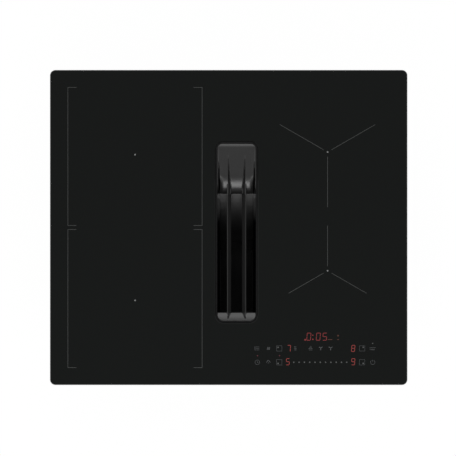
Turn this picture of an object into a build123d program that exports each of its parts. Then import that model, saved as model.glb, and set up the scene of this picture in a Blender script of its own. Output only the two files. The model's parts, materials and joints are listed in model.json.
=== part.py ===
"""Built-in induction cooktop, 590 x 520 mm, with an extractor in the middle of the glass.

Frame: the origin is the centre of the cooktop on the worktop surface, +Z is up, -Y is the cook's side.
All sizes are in millimetres.
"""

import math
import os
from collections import namedtuple

from build123d import *

os.makedirs("parts", exist_ok=True)

# Glass plate and the foam gasket that it rests on
glass_w = 590.0
glass_d = 520.0
glass_t = 4.0
glass_corner_r = 9.0
glass_bevel = 1.2
slot_bevel = 0.6
gasket_t = 1.5
gasket_w = 7.0
gasket_inset = 2.5

# Steel body that hangs in a 560 x 490 mm worktop cut-out
body_inset = 19.0
body_corner_r = 6.0
frame_sheet = 0.8
frame_flange = 10.0
frame_skirt = 16.0
frame_clearance = 0.2
tray_sheet = 1.0
tray_depth = 55.0
frame_screw_end_x = 100.0
frame_screw_end_y = 51.0
bead_h = 1.2
bead_taper = 30.0
bead_w = 14.0
bead_l = 136.0
bead_y = 20.0
bead_pitch = 62.0
bead_count = 4
louvre_w = 5.0
louvre_l = 25.0
louvre_pitch = 27.5
louvre_count = 17

# Intake in the glass: the place and size that the grille fills
vent_x = 13.0
vent_panel_gap = 1.6
vent_w = 64.4
vent_l = 294.0
vent_corner_r = 10.5
collar_rim = 1.6
collar_gap = 1.4
collar_drop = 0.6
collar_flange_w = 12.0
collar_flange_t = 3.0
collar_seal_t = 1.0
collar_seal_w = 7.0
collar_wall = 1.8
collar_ledge_t = 3.0
collar_reach = 9.0
tube_r = 5.0
tube_gap = 1.0
grille_ledge = 8.0
grille_ledge_drop = 17.5
filter_ledge = 2.4
filter_ledge_drop = 29.5

# Grille: rear hood, two vanes and a front lip, in one casting
grille_gap = 0.4
hood_l = 83.5
hood_curve_l = 32.5
hood_curve_h = 19.5
hood_t = 3.0
hood_leg_t = 5.0
hood_edge_l = 6.5
hood_edge_h = 2.4
cheek_t = 1.6
cheek_l = 60.0
cheek_nose = 6.0
lip_l = 13.4
lip_r = 45.0
lip_tilt = 7.0
lip_t = 4.0
vane_x = 12.4
vane_w = 6.6
vane_h = 23.0
vane_drop = 2.5
vane_fall = 7.0
vane_edge = 1.4
groove_l = 64.0
groove_tip = 0.8
groove_over = 1.0
side_groove_l = 56.0
side_groove_w = 5.7
tongue_fall_w = 12.0
tongue_fall_h = 8.0
notch_l = 9.5
notch_tip_drop = 0.9

# Grease filter that hangs in the intake
filter_clearance = 0.5
filter_wall = 1.6
filter_r = 3.5
filter_rim_t = 2.5
filter_rim_slope = 2.2
filter_h = 106.0
filter_floor_t = 2.0
ramp_l = 115.0
ramp_h = 95.0
ramp_r = 195.0
ramp_start = 24.0
window_l = 92.0
window_h = 74.0
window_inset = 8.0
window_frame = 4.0
mesh_t = 2.0
mesh_slit_l = 26.0
mesh_slit_w = 4.0
mesh_web = 3.0
mesh_rows = 10
mesh_columns = 3
grip_w = 9.0
grip_t = 3.0
grip_drop = 16.0

# Cooking zones: gaps to the frame, the collar and the middle of the glass, and shares of spare depth
left_zone_gap = 17.6
left_zone_shift = -5.2
left_coil_end = 37.2
left_coil_middle = 17.8
left_coil_corner_r = 70.0
right_zone_gap = 9.6
right_zone_shift = 0.8
rear_spare_share = 0.209
front_spare_share = 0.365
front_right_dia = 145.0

# Stack under each zone, from the glass down
mica_t = 0.5
mica_margin = 4.0
winding_t = 4.0
winding_eye_r = 24.0
winding_pack = 30.0
winding_split = 4.0
carrier_t = 3.0
carrier_margin = 3.0
carrier_hole_r = 7.0
carrier_slot_r = 45.0
carrier_slot_l = 30.0
carrier_slot_w = 8.0
ferrite_count = 8
ferrite_w = 9.0
ferrite_t = 5.0
ferrite_inner_r = 28.0
ferrite_end = 8.0
pad_r = 5.0
pad_count = 4
pad_h = 8.5
pad_inset = 7.0
sensor_r = 6.5
sensor_rim_r = 9.5
sensor_rim_t = 1.4
sensor_tail = 6.0

# Aluminium coil plates that stand on the tray
plate_sheet = 1.5
plate_margin = 3.0
plate_gap = 3.0
wire_hole_l = 34.0
wire_hole_w = 12.0
wire_hole_x = 150.0
wire_hole_y = 28.0

# Touch control under the glass, front right, with its keys placed from the middle of the carrier
panel_side_gap = 14.0
panel_front_gap = 0.3
panel_w = 218.0
panel_d = 61.0
panel_wall = 2.0
panel_h = 9.5
panel_corner_r = 4.0
panel_leg_r = 4.0
panel_leg_inset = 7.2
panel_leg_side = 35.0
panel_leg_y = 24.0
board_t = 1.6
panel_board_drop = 3.4
key_pad_r = 4.0
outer_key_xs = (-95.8, -77.6, -59.6, 77.2, 94.7)
fan_key_xs = (-7.9, 8.8, 25.2)
upper_row_y = 0.6
lower_row_y = -22.3
slider_x = 8.2
slider_l = 92.0
slider_w = 8.0
display_t = 2.4
zone_digit_w = 9.0
zone_digit_h = 11.0
zone_digit_xs = (-44.4, 62.0)
timer_w = 44.0
timer_h = 16.0
timer_x = 0.3
timer_y = 19.8

# Electronics on the tray floor
left_board_w = 190.0
right_board_w = 170.0
power_board_l = 285.0
power_board_gap = 13.0
standoff_h = 5.0
standoff_r = 3.5
standoff_inset = 8.0
sink_w = 42.0
sink_l = 190.0
sink_h = 24.0
sink_offset = 38.0
sink_base_t = 4.0
fin_count = 8
fin_t = 2.0
igbt_w = 16.0
igbt_l = 21.0
igbt_t = 5.0
igbt_pitch = 44.0
igbt_count = 4
capacitor_w = 16.0
capacitor_l = 34.0
capacitor_h = 24.0
capacitor_r = 2.0
capacitor_pitch = 80.0
capacitor_count = 2
choke_r = 13.0
choke_h = 12.0
choke_section_w = 9.0
choke_section_r = 3.0
choke_offset = 38.0

# Cooling fans that draw air through the tray floor
fan_size = 80.0
fan_h = 25.0
fan_bore_r = 37.0
fan_corner_r = 6.0
fan_hub_r = 15.0
fan_tip_gap = 1.5
fan_base_t = 2.5
fan_arm_w = 4.0
fan_hole_r = 2.2
fan_hole_pitch = 71.5
fan_pin_r = 1.5
fan_pin_l = 12.0
fan_lift = 1.0
fan_arms = 4
fan_hub_edge_r = 2.0
fan_inset = 11.0
inlet_l = 56.0
inlet_w = 4.0
inlet_pitch = 9.0
inlet_count = 7
blade_count = 7
blade_t = 1.8
blade_chord = 17.0
blade_root_pitch = 35.0
blade_tip_pitch = 62.0
running_gap = 0.05

# Extractor under the tray
module_bottom = -190.0
wall = 2.5
chamber_side = 12.4
chamber_end = 19.6
chamber_r = 10.0
chamber_edge_r = 5.0
plenum_inset = 20.0
plenum_reach = 119.0
plenum_h = 49.0
module_flange_w = 8.0
module_flange_t = 3.0
module_screw_y = 110.0
rib_t = 2.0
rib_h = 5.0
rib_pitch = 52.0
rib_count = 6

# Extractor fan: scroll, impeller and outer-rotor motor
fan_axis_rear = 115.5
scroll_gap = 12.5
scroll_r = 94.0
scroll_step = 12.0
scroll_edge_r = 2.0
tongue_r = 3.0
scroll_mouth = 115.0
floor_rise = 8.0
floor_rise_r = 70.0
well_rib_count = 8
well_rib_t = 2.0
well_rib_h = 5.0
well_hub_r = 14.0
well_rib_r = 46.0
lug_r = 7.0
lug_t = 5.0
lug_reach = 4.0
impeller_r = 80.0
impeller_floor_gap = 12.0
back_plate_t = 2.5
impeller_blades = 11
impeller_blade_t = 2.2
impeller_blade_inner_r = 57.0
impeller_blade_sweep = 38.0
impeller_blade_arc_r = 42.0
impeller_eye_r = 54.0
shroud_t = 2.0
eye_collar_h = 8.0
impeller_top_gap = 4.0
bellmouth_gap = 3.0
bellmouth_wall = 1.5
bellmouth_r = 14.0
bellmouth_flange = 8.0
bellmouth_flange_t = 2.0
rotor_r = 46.0
rotor_wall = 2.0
rotor_h = 34.0
hub_wall = 2.4
shaft_r = 4.0
bearing_r = 11.0
bearing_h = 7.0
bearing_tube_wall = 3.0
bearing_inset = 2.0
shaft_end_gap = 1.0
stator_gap = 0.6
stator_h = 20.0
stator_teeth = 12
stator_tooth_w = 6.0
stator_ring_r = 24.0
stator_shoe_t = 3.0
stator_shoe_gap = 3.0
stator_lift = 3.0
motor_plate_t = 2.0
motor_plate_r = 66.0
damper_r = 8.0
damper_hole_r = 5.0
damper_circle_r = 58.0
damper_flange_t = 2.5
damper_count = 4
damper_turn = 45.0
damper_bore_gap = 0.1
seat_gap = 0.02

# Outlet for a flat duct, 222 x 89 mm outside
outlet_w = 217.0
outlet_h = 84.0
outlet_end_inset = 1.0
outlet_bead_h = 0.8
outlet_bead_w = 3.0
outlet_collar_l = 26.0
outlet_wall = 2.0
outlet_r = 8.0
outlet_sleeve_l = 10.0

# Mains terminal box under the tray, rear right
terminal_inset_x = 75.0
terminal_inset_y = 52.0
terminal_w = 76.0
terminal_l = 58.0
terminal_h = 26.0
terminal_wall = 2.0
terminal_corner_r = 4.0
gland_r = 11.0
gland_bore_r = 6.0
gland_thread_r = 8.0
gland_l = 14.0
gland_edge = 1.0
gland_nut_t = 5.0
terminal_ways = 5
terminal_block_w = 56.0
terminal_block_l = 24.0
terminal_block_h = 15.0

# Fasteners and worktop springs
screw_r = 1.9
screw_head_r = 3.6
screw_head_h = 2.0
screw_l = 7.0
clip_w = 22.0
clip_sheet = 0.8
clip_reach = 3.4
clip_h = 30.0
clip_top = 20.0
clip_end = 91.0

# Levels and places worked out from the sizes above
glass_z = gasket_t
glass_top = glass_z + glass_t
flange_z = glass_z - frame_sheet
body_w = glass_w - 2 * body_inset
body_d = glass_d - 2 * body_inset
frame_screw_x = body_w / 2 - frame_screw_end_x
frame_screw_y = body_d / 2 - frame_screw_end_y
clip_y = body_d / 2 - clip_end
frame_in_x = body_w / 2 - frame_flange
frame_in_y = body_d / 2 - frame_flange
tray_w = body_w - 2 * (frame_sheet + frame_clearance)
tray_d = body_d - 2 * (frame_sheet + frame_clearance)
tray_r = body_corner_r - frame_sheet - frame_clearance
tray_bottom = -tray_depth
floor_z = tray_bottom + tray_sheet
tray_in_w = tray_w - 2 * tray_sheet
tray_in_d = tray_d - 2 * tray_sheet

panel_x = frame_in_x - panel_side_gap - panel_w / 2
panel_y = -frame_in_y + panel_front_gap + panel_d / 2
panel_rear_y = panel_y + panel_d / 2
vent_y = panel_rear_y + vent_panel_gap + collar_flange_w + collar_rim + vent_l / 2

collar_top = glass_top - collar_drop
collar_flange_top = glass_z - collar_seal_t
collar_flange_z = collar_flange_top - collar_flange_t
grille_ledge_z = glass_top - grille_ledge_drop
filter_ledge_z = glass_top - filter_ledge_drop
collar_bottom = tray_bottom - collar_reach
slot_margin = collar_rim + collar_gap
filter_hole_w = vent_w - 2 * filter_ledge
filter_hole_l = vent_l - 2 * (grille_ledge + filter_ledge)
tube_w = filter_hole_w + 2 * collar_wall
tube_l = filter_hole_l + 2 * collar_wall
collar_left = vent_x - vent_w / 2 - collar_rim - collar_flange_w
collar_right = vent_x + vent_w / 2 + collar_rim + collar_flange_w

left_coil_w = collar_left + frame_in_x - 2 * (mica_margin + left_zone_gap)
left_coil_l = glass_d / 2 - left_coil_end - left_coil_middle
left_zone_x = (collar_left - frame_in_x) / 2 + left_zone_shift
left_zone_y = left_coil_middle + left_coil_l / 2
rear_right_dia = frame_in_x - collar_right - 2 * (mica_margin + right_zone_gap)
right_zone_x = (collar_right + frame_in_x) / 2 + right_zone_shift
rear_reach = rear_right_dia / 2 + mica_margin
front_reach = front_right_dia / 2 + mica_margin
spare_depth = frame_in_y - panel_rear_y - 2 * (rear_reach + front_reach)
rear_right_y = frame_in_y - rear_spare_share * spare_depth - rear_reach
front_right_y = panel_rear_y + front_spare_share * spare_depth + front_reach

mica_z = glass_z - mica_t
winding_z = mica_z - winding_t
carrier_z = winding_z - carrier_t
ferrite_z = carrier_z - ferrite_t
plate_top = carrier_z - pad_h
plate_z = plate_top - plate_sheet
left_plate_x0 = -tray_in_w / 2 + plate_margin
left_plate_x1 = collar_left - plate_gap
right_plate_x0 = collar_right + plate_gap
right_plate_x1 = tray_in_w / 2 - plate_margin
left_bay_x = (left_plate_x0 + left_plate_x1) / 2
right_bay_x = (right_plate_x0 + right_plate_x1) / 2
fan_y = -tray_in_d / 2 + fan_inset + fan_size / 2
power_board_y = fan_y + fan_size / 2 + power_board_gap + power_board_l / 2
power_board_z = floor_z + standoff_h
power_board_top = power_board_z + board_t

plenum_bottom = tray_bottom - plenum_h
scroll_floor_z = module_bottom + wall
motor_floor_z = scroll_floor_z + floor_rise
motor_plate_z = motor_floor_z + damper_flange_t
motor_plate_top = motor_plate_z + motor_plate_t
back_plate_z = motor_floor_z + impeller_floor_gap
shroud_top = plenum_bottom - wall - impeller_top_gap - eye_collar_h
rotor_top = back_plate_z + rotor_h
chamber_w = tube_w + 2 * chamber_side
chamber_l = tube_l + 2 * chamber_end
chamber_x0 = vent_x - chamber_w / 2
chamber_x1 = vent_x + chamber_w / 2
chamber_y0 = vent_y - chamber_l / 2
chamber_y1 = vent_y + chamber_l / 2
half_step = scroll_step / 2
fan_axis_y = chamber_y1 - fan_axis_rear
fan_axis_x = chamber_x0 - scroll_gap - wall - scroll_r - half_step
plenum_left = -tray_w / 2 + plenum_inset
plenum_front = fan_axis_y - plenum_reach
outlet_y = fan_axis_y + scroll_mouth
outlet_end_y = tray_d / 2 - outlet_end_inset
terminal_x = tray_w / 2 - terminal_inset_x
terminal_y = tray_d / 2 - terminal_inset_y

# Screw places on the flanges of the extractor and the terminal box
flange_mid = module_flange_w / 2
module_screw_spots = [
    (chamber_x1 + flange_mid, vent_y - module_screw_y),
    (chamber_x1 + flange_mid, vent_y),
    (chamber_x1 + flange_mid, vent_y + module_screw_y),
    (chamber_x0 - flange_mid, vent_y - module_screw_y),
    (vent_x, chamber_y0 - flange_mid),
    (vent_x, chamber_y1 + flange_mid),
    (fan_axis_x, chamber_y1 + flange_mid),
    (fan_axis_x, plenum_front - flange_mid),
    (plenum_left - flange_mid, fan_axis_y),
]
lug_out = wall + lug_reach
front_lug = (scroll_r + scroll_step + lug_out) * math.sqrt(0.5)
left_lug = (scroll_r + 2 * scroll_step + lug_out) * math.sqrt(0.5)
lug_spots = [
    (fan_axis_x + half_step + scroll_r + lug_out, fan_axis_y - half_step),
    (fan_axis_x - half_step + front_lug, fan_axis_y - half_step - front_lug),
    (fan_axis_x - half_step - left_lug, fan_axis_y + half_step - left_lug),
    (fan_axis_x + half_step + lug_out, outlet_y - 2 * lug_r),
]
terminal_screw_x = terminal_w / 2 + flange_mid
terminal_screw_spots = [
    (terminal_x - terminal_screw_x, terminal_y),
    (terminal_x + terminal_screw_x, terminal_y),
]


def save(piece, name):
    """Labels a finished sub-part and writes it as one STEP file."""
    piece.part.label = name
    export_step(piece.part, f"parts/{name}.step")


def cross_plane(x, y):
    """Plane across the cooktop at depth y, with X to the right from x and Z up."""
    return Plane((x, y, 0), x_dir=(1, 0, 0), z_dir=(0, -1, 0))


def rounded_ring(width, length, radius, ring):
    """Draws a rounded rectangular ring of even width in the open sketch."""
    RectangleRounded(width, length, radius)
    RectangleRounded(
        width - 2 * ring, length - 2 * ring, max(radius - ring, 0.5), mode=Mode.SUBTRACT
    )


# Glass plate with a ground edge and the intake slot
with BuildPart() as glass_plate:
    with BuildSketch(Plane.XY.offset(glass_z)):
        RectangleRounded(glass_w, glass_d, glass_corner_r)
        with Locations((vent_x, vent_y)):
            RectangleRounded(
                vent_w + 2 * slot_margin,
                vent_l + 2 * slot_margin,
                vent_corner_r + slot_margin,
                mode=Mode.SUBTRACT,
            )
    extrude(amount=glass_t)
    glass_face = glass_plate.faces().sort_by(Axis.Z)[-1]
    slot_edges = glass_face.inner_wires()[0].edges()
    chamfer(glass_face.outer_wire().edges(), glass_bevel)
    chamfer(slot_edges, slot_bevel)
save(glass_plate, "glass_plate")

# Foam gasket between the glass and the worktop
with BuildPart() as perimeter_gasket:
    with BuildSketch():
        rounded_ring(
            glass_w - 2 * gasket_inset, glass_d - 2 * gasket_inset, glass_corner_r, gasket_w
        )
    extrude(amount=gasket_t)
save(perimeter_gasket, "perimeter_gasket")

# Steel angle frame bonded under the glass
screw_z = flange_z - frame_skirt / 2
side_planes = [
    Plane((sign * body_w / 2, y, screw_z), x_dir=(0, 1, 0), z_dir=(sign, 0, 0))
    for sign in (-1, 1)
    for y in (-frame_screw_y, frame_screw_y)
]
end_planes = [
    Plane((x, sign * body_d / 2, screw_z), x_dir=(1, 0, 0), z_dir=(0, sign, 0))
    for sign in (-1, 1)
    for x in (-frame_screw_x, frame_screw_x)
]
frame_screw_planes = side_planes + end_planes

with BuildPart() as glass_frame:
    with BuildSketch(Plane.XY.offset(glass_z)):
        rounded_ring(body_w, body_d, body_corner_r, frame_flange)
    extrude(amount=-frame_sheet)
    with BuildSketch(Plane.XY.offset(glass_z)):
        rounded_ring(body_w, body_d, body_corner_r, frame_sheet)
    extrude(amount=-frame_skirt)
    for plane in frame_screw_planes:
        with BuildSketch(plane):
            Circle(screw_r + frame_clearance)
        extrude(amount=-2 * frame_sheet, mode=Mode.SUBTRACT)
save(glass_frame, "glass_frame")

# Galvanised tray: floor with the intake hole, fan inlets and beads, walls with louvres
with BuildPart() as base_tray:
    with BuildSketch(Plane.XY.offset(tray_bottom)):
        RectangleRounded(tray_w, tray_d, tray_r)
    extrude(amount=flange_z - tray_bottom)
    with BuildSketch(Plane.XY.offset(floor_z)):
        RectangleRounded(tray_in_w, tray_in_d, tray_r - tray_sheet)
    extrude(amount=flange_z - floor_z, mode=Mode.SUBTRACT)
    with BuildSketch(Plane.XY.offset(tray_bottom)):
        with Locations((vent_x, vent_y)):
            RectangleRounded(tube_w + 2 * tube_gap, tube_l + 2 * tube_gap, tube_r + tube_gap)
        for bay_x in (left_bay_x, right_bay_x):
            with Locations((bay_x, fan_y)):
                with GridLocations(0, inlet_pitch, 1, inlet_count):
                    SlotOverall(inlet_l, inlet_w)
        with Locations(*module_screw_spots, *terminal_screw_spots):
            Circle(screw_r)
    extrude(amount=tray_sheet, mode=Mode.SUBTRACT)
    with BuildSketch(Plane.XY.offset(tray_bottom)):
        with Locations((right_bay_x, bead_y)):
            with GridLocations(0, bead_pitch, 1, bead_count):
                SlotOverall(bead_l, bead_w)
    extrude(amount=-bead_h, taper=bead_taper)
    with BuildSketch(Plane.XZ.offset(-tray_d / 2)):
        with Locations((0, tray_bottom / 2)):
            with GridLocations(louvre_pitch, 0, louvre_count, 1):
                SlotOverall(louvre_l, louvre_w, rotation=90)
    extrude(amount=tray_sheet, mode=Mode.SUBTRACT)
    for plane in frame_screw_planes:
        with BuildSketch(plane):
            Circle(screw_r)
        extrude(amount=-3 * tray_sheet, mode=Mode.SUBTRACT)
save(base_tray, "base_tray")

# Screws that hold the frame to the tray
with BuildPart() as frame_screws:
    for plane in frame_screw_planes:
        with BuildSketch(plane):
            Circle(screw_head_r)
        extrude(amount=screw_head_h)
        with BuildSketch(plane):
            Circle(screw_r - running_gap)
        extrude(amount=-screw_l)
save(frame_screws, "frame_screws")

# Leaf springs that grip the sides of the cut-out
with BuildPart() as worktop_clips:
    for sign in (-1, 1):
        for y in (-clip_y, clip_y):
            clip_plane = Plane(
                (sign * tray_w / 2, y + sign * clip_w / 2, -clip_top),
                x_dir=(sign, 0, 0),
                z_dir=(0, -sign, 0),
            )
            with BuildSketch(clip_plane):
                with BuildLine():
                    leaf = FilletPolyline(
                        (clip_sheet / 2, -clip_h),
                        (clip_sheet / 2, -clip_h * 0.55),
                        (clip_reach, -clip_h * 0.2),
                        (clip_reach * 0.55, 0),
                        radius=2,
                    )
                trace(leaf, line_width=clip_sheet)
            extrude(amount=clip_w)
save(worktop_clips, "worktop_clips")

# Collar moulded round the intake, bonded under the glass
with BuildPart() as intake_collar:
    vent_plane = Plane((vent_x, vent_y, 0))
    upper_w = vent_w + 2 * collar_rim
    upper_l = vent_l + 2 * collar_rim
    upper_r = vent_corner_r + collar_rim
    with BuildSketch(vent_plane.offset(filter_ledge_z - collar_ledge_t)):
        RectangleRounded(upper_w, upper_l, upper_r)
    extrude(amount=collar_top - filter_ledge_z + collar_ledge_t)
    with BuildSketch(vent_plane.offset(collar_flange_z)):
        RectangleRounded(
            upper_w + 2 * collar_flange_w, upper_l + 2 * collar_flange_w, upper_r + collar_flange_w
        )
    extrude(amount=collar_flange_t)
    with BuildSketch(vent_plane.offset(collar_bottom)):
        RectangleRounded(tube_w, tube_l, tube_r)
    extrude(amount=filter_ledge_z - collar_bottom)
    with BuildSketch(vent_plane.offset(grille_ledge_z)):
        RectangleRounded(vent_w, vent_l, vent_corner_r)
    extrude(amount=collar_top - grille_ledge_z, mode=Mode.SUBTRACT)
    with BuildSketch(vent_plane.offset(filter_ledge_z)):
        RectangleRounded(vent_w, vent_l - 2 * grille_ledge, tube_r)
    extrude(amount=grille_ledge_z - filter_ledge_z, mode=Mode.SUBTRACT)
    with BuildSketch(vent_plane.offset(collar_bottom)):
        RectangleRounded(filter_hole_w, filter_hole_l, tube_r - collar_wall)
    extrude(amount=filter_ledge_z - collar_bottom, mode=Mode.SUBTRACT)
save(intake_collar, "intake_collar")

# Silicone bead between the collar flange and the glass
with BuildPart() as collar_seal:
    with BuildSketch(vent_plane.offset(collar_flange_top)):
        rounded_ring(
            vent_w + 2 * (slot_margin + collar_seal_w),
            vent_l + 2 * (slot_margin + collar_seal_w),
            vent_corner_r + slot_margin + collar_seal_w,
            collar_seal_w,
        )
    extrude(amount=collar_seal_t)
save(collar_seal, "collar_seal")

# Cast grille: the hood falls into the intake, the vanes run on to the lip
grille_w = vent_w - 2 * grille_gap
grille_l = vent_l - 2 * grille_gap
grille_r = vent_corner_r - grille_gap
rear_y = grille_l / 2
hood_y = rear_y - hood_l
curve_y = hood_y + hood_curve_l
hood_low = glass_top - hood_curve_h
lip_y = -rear_y + lip_l
lip_centre_y = -rear_y - lip_r * math.sin(math.radians(lip_tilt))
lip_centre_z = glass_top - lip_r * math.cos(math.radians(lip_tilt))
lip_end_tilt = math.degrees(math.asin((lip_y - lip_centre_y) / lip_r))
lip_low = lip_centre_z + lip_r * math.cos(math.radians(lip_end_tilt))
vane_top = glass_top - vane_drop
vane_bottom = vane_top - vane_h
ridge_u = vane_x + vane_w / 2 - vane_edge
inner_u = vane_x - vane_w / 2
vane_slope = vane_fall / (ridge_u - inner_u)
side_plane = Plane((vent_x, vent_y, 0), x_dir=(0, 1, 0), z_dir=(1, 0, 0))

with BuildPart() as vent_grille:
    # Hood: a rolled rear edge, a flat top, a quarter-ellipse fall, and a leg on the rear ledge
    with BuildSketch(side_plane):
        with BuildLine():
            Line((rear_y, grille_ledge_z), (rear_y, glass_top - hood_edge_h))
            EllipticalCenterArc(
                (rear_y - hood_edge_l, glass_top - hood_edge_h),
                hood_edge_l,
                hood_edge_h,
                start_angle=0,
                arc_size=90,
            )
            Line((rear_y - hood_edge_l, glass_top), (curve_y, glass_top))
            EllipticalCenterArc(
                (curve_y, hood_low), hood_curve_l, hood_curve_h, start_angle=90, arc_size=90
            )
            Line((hood_y, hood_low), (hood_y + hood_t, hood_low))
            EllipticalCenterArc(
                (curve_y, hood_low),
                hood_curve_l - hood_t,
                hood_curve_h - hood_t,
                start_angle=90,
                arc_size=90,
            )
            Line((curve_y, glass_top - hood_t), (rear_y - hood_leg_t, glass_top - hood_t))
            Line((rear_y - hood_leg_t, glass_top - hood_t), (rear_y - hood_leg_t, grille_ledge_z))
            Line((rear_y - hood_leg_t, grille_ledge_z), (rear_y, grille_ledge_z))
        make_face()
    extrude(amount=grille_w / 2, both=True)
    # Blades of the vanes, each with a narrow ridge on its outer side and a top that slopes inwards
    for sign in (-1, 1):
        with BuildSketch(side_plane.offset(sign * vane_x - vane_w / 2)):
            with BuildLine():
                Polyline(
                    (-rear_y + hood_leg_t, vane_top),
                    (curve_y, vane_top),
                    (curve_y + groove_l / 2, glass_top - hood_t),
                    (curve_y, vane_bottom),
                    (lip_y, vane_bottom),
                    (lip_y, grille_ledge_z),
                    (-rear_y + hood_leg_t, grille_ledge_z),
                    close=True,
                )
            make_face()
        extrude(amount=vane_w)
        with BuildSketch(cross_plane(vent_x, vent_y + hood_y)):
            Polygon(
                (sign * ridge_u, vane_top),
                (sign * ridge_u, vane_top + groove_over),
                (sign * (inner_u - groove_over), vane_top + groove_over),
                (sign * (inner_u - groove_over), vane_top - vane_fall - vane_slope * groove_over),
                align=None,
            )
        extrude(amount=hood_y + rear_y, mode=Mode.SUBTRACT)
    # Lip: a slightly crowned fall towards the slots, with a foot on the front ledge
    with BuildSketch(side_plane):
        with BuildLine():
            Line((-rear_y, grille_ledge_z), (-rear_y, glass_top))
            CenterArc(
                (lip_centre_y, lip_centre_z), lip_r, 90 - lip_end_tilt, lip_end_tilt - lip_tilt
            )
            Line((lip_y, lip_low), (lip_y, lip_low - lip_t))
            Line((lip_y, lip_low - lip_t), (-rear_y + hood_leg_t, lip_low - lip_t))
            Line((-rear_y + hood_leg_t, lip_low - lip_t), (-rear_y + hood_leg_t, grille_ledge_z))
            Line((-rear_y + hood_leg_t, grille_ledge_z), (-rear_y, grille_ledge_z))
        make_face()
    extrude(amount=grille_w / 2, both=True)
    # Cheeks that close the sides of the hood
    for sign in (-1, 1):
        with BuildSketch(side_plane.offset(sign * (grille_w - cheek_t) / 2)):
            with BuildLine():
                Polyline(
                    (rear_y - grille_r, grille_ledge_z),
                    (rear_y - grille_r, glass_top),
                    (rear_y - cheek_l, glass_top),
                    (rear_y - cheek_l - cheek_nose, glass_top - cheek_nose),
                    (rear_y - cheek_l, grille_ledge_z),
                    close=True,
                )
            make_face()
        extrude(amount=cheek_t / 2, both=True)
    # Rounded plan corners, from the outline of the intake
    with BuildSketch(vent_plane.offset(vane_bottom)):
        RectangleRounded(grille_w, grille_l, grille_r)
    extrude(amount=glass_top - vane_bottom, mode=Mode.INTERSECT)
    # Grooves that widen and deepen towards the slots and split the hood into three tongues
    for sign in (-1, 1):
        groove_outer = sign * ridge_u
        groove_inner = sign * inner_u
        with BuildSketch(cross_plane(vent_x, vent_y + hood_y - groove_over)):
            Polygon(
                (groove_outer, glass_top + groove_over),
                (groove_inner - sign * groove_over, glass_top + groove_over),
                (groove_inner, vane_top - vane_fall),
                (groove_outer, vane_top),
                align=None,
            )
        with BuildSketch(cross_plane(vent_x, vent_y + hood_y + groove_l)):
            Polygon(
                (groove_outer, glass_top + groove_over),
                (groove_outer - sign * groove_tip, glass_top + groove_over),
                (groove_outer - sign * groove_tip, glass_top - groove_tip / 2),
                (groove_outer, glass_top - groove_tip / 2),
                align=None,
            )
        loft(ruled=True, mode=Mode.SUBTRACT)
    # Grooves beside the cheeks, with a fall on the outer side of the side tongues
    for sign in (-1, 1):
        cheek_in = sign * (grille_w / 2 - cheek_t)
        tongue_out = cheek_in - sign * side_groove_w
        with BuildSketch(cross_plane(vent_x, vent_y + hood_y - groove_over)):
            Polygon(
                (cheek_in, glass_top + groove_over),
                (tongue_out - sign * tongue_fall_w, glass_top + groove_over),
                (tongue_out, glass_top - tongue_fall_h),
                (tongue_out, vane_bottom),
                (cheek_in, vane_bottom),
                align=None,
            )
        with BuildSketch(cross_plane(vent_x, vent_y + hood_y + side_groove_l)):
            Polygon(
                (cheek_in, glass_top + groove_over),
                (cheek_in - sign * 2 * groove_tip, glass_top + groove_over),
                (cheek_in - sign * groove_tip, glass_top - groove_tip / 4),
                (cheek_in - sign * groove_tip / 2, glass_top - groove_tip / 2),
                (cheek_in, glass_top - groove_tip / 2),
                align=None,
            )
        loft(ruled=True, mode=Mode.SUBTRACT)
    # Notches that carry the line of the vanes on into the lip
    for sign in (-1, 1):
        notch_outer = sign * ridge_u
        notch_inner = sign * inner_u
        with BuildSketch(cross_plane(vent_x, vent_y + lip_y + groove_over)):
            Polygon(
                (notch_outer, glass_top),
                (notch_inner, glass_top),
                (notch_inner, vane_top - vane_fall),
                (notch_outer, vane_top),
                align=None,
            )
        with BuildSketch(cross_plane(vent_x, vent_y + lip_y - notch_l)):
            Polygon(
                (notch_outer, glass_top),
                (notch_outer - sign * groove_tip, glass_top),
                (notch_outer - sign * groove_tip, glass_top - notch_tip_drop),
                (notch_outer, glass_top - notch_tip_drop),
                align=None,
            )
        loft(ruled=True, mode=Mode.SUBTRACT)
save(vent_grille, "vent_grille")

# Filter cassette: rim on the collar ledge, windows for the meshes, closed floor, curved air ramp
filter_w = filter_hole_w - 2 * filter_clearance
filter_l = filter_hole_l - 2 * filter_clearance
filter_in_w = filter_w - 2 * filter_wall
filter_in_l = filter_l - 2 * filter_wall
filter_bottom = filter_ledge_z - filter_h
filter_top = filter_ledge_z + filter_rim_t
filter_floor = filter_bottom + filter_floor_t
window_y = -filter_in_l / 2 + window_inset + window_l / 2
window_z = filter_floor + window_inset + window_h / 2
ramp_y = hood_y + ramp_start
ramp_half_turn = math.degrees(math.asin(math.hypot(ramp_l, ramp_h) / 2 / ramp_r))
ramp_tilt = math.degrees(math.atan2(ramp_h, ramp_l)) - ramp_half_turn
ramp_centre = (
    ramp_y + ramp_r * math.sin(math.radians(ramp_tilt)),
    filter_top - ramp_r * math.cos(math.radians(ramp_tilt)),
)

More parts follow.
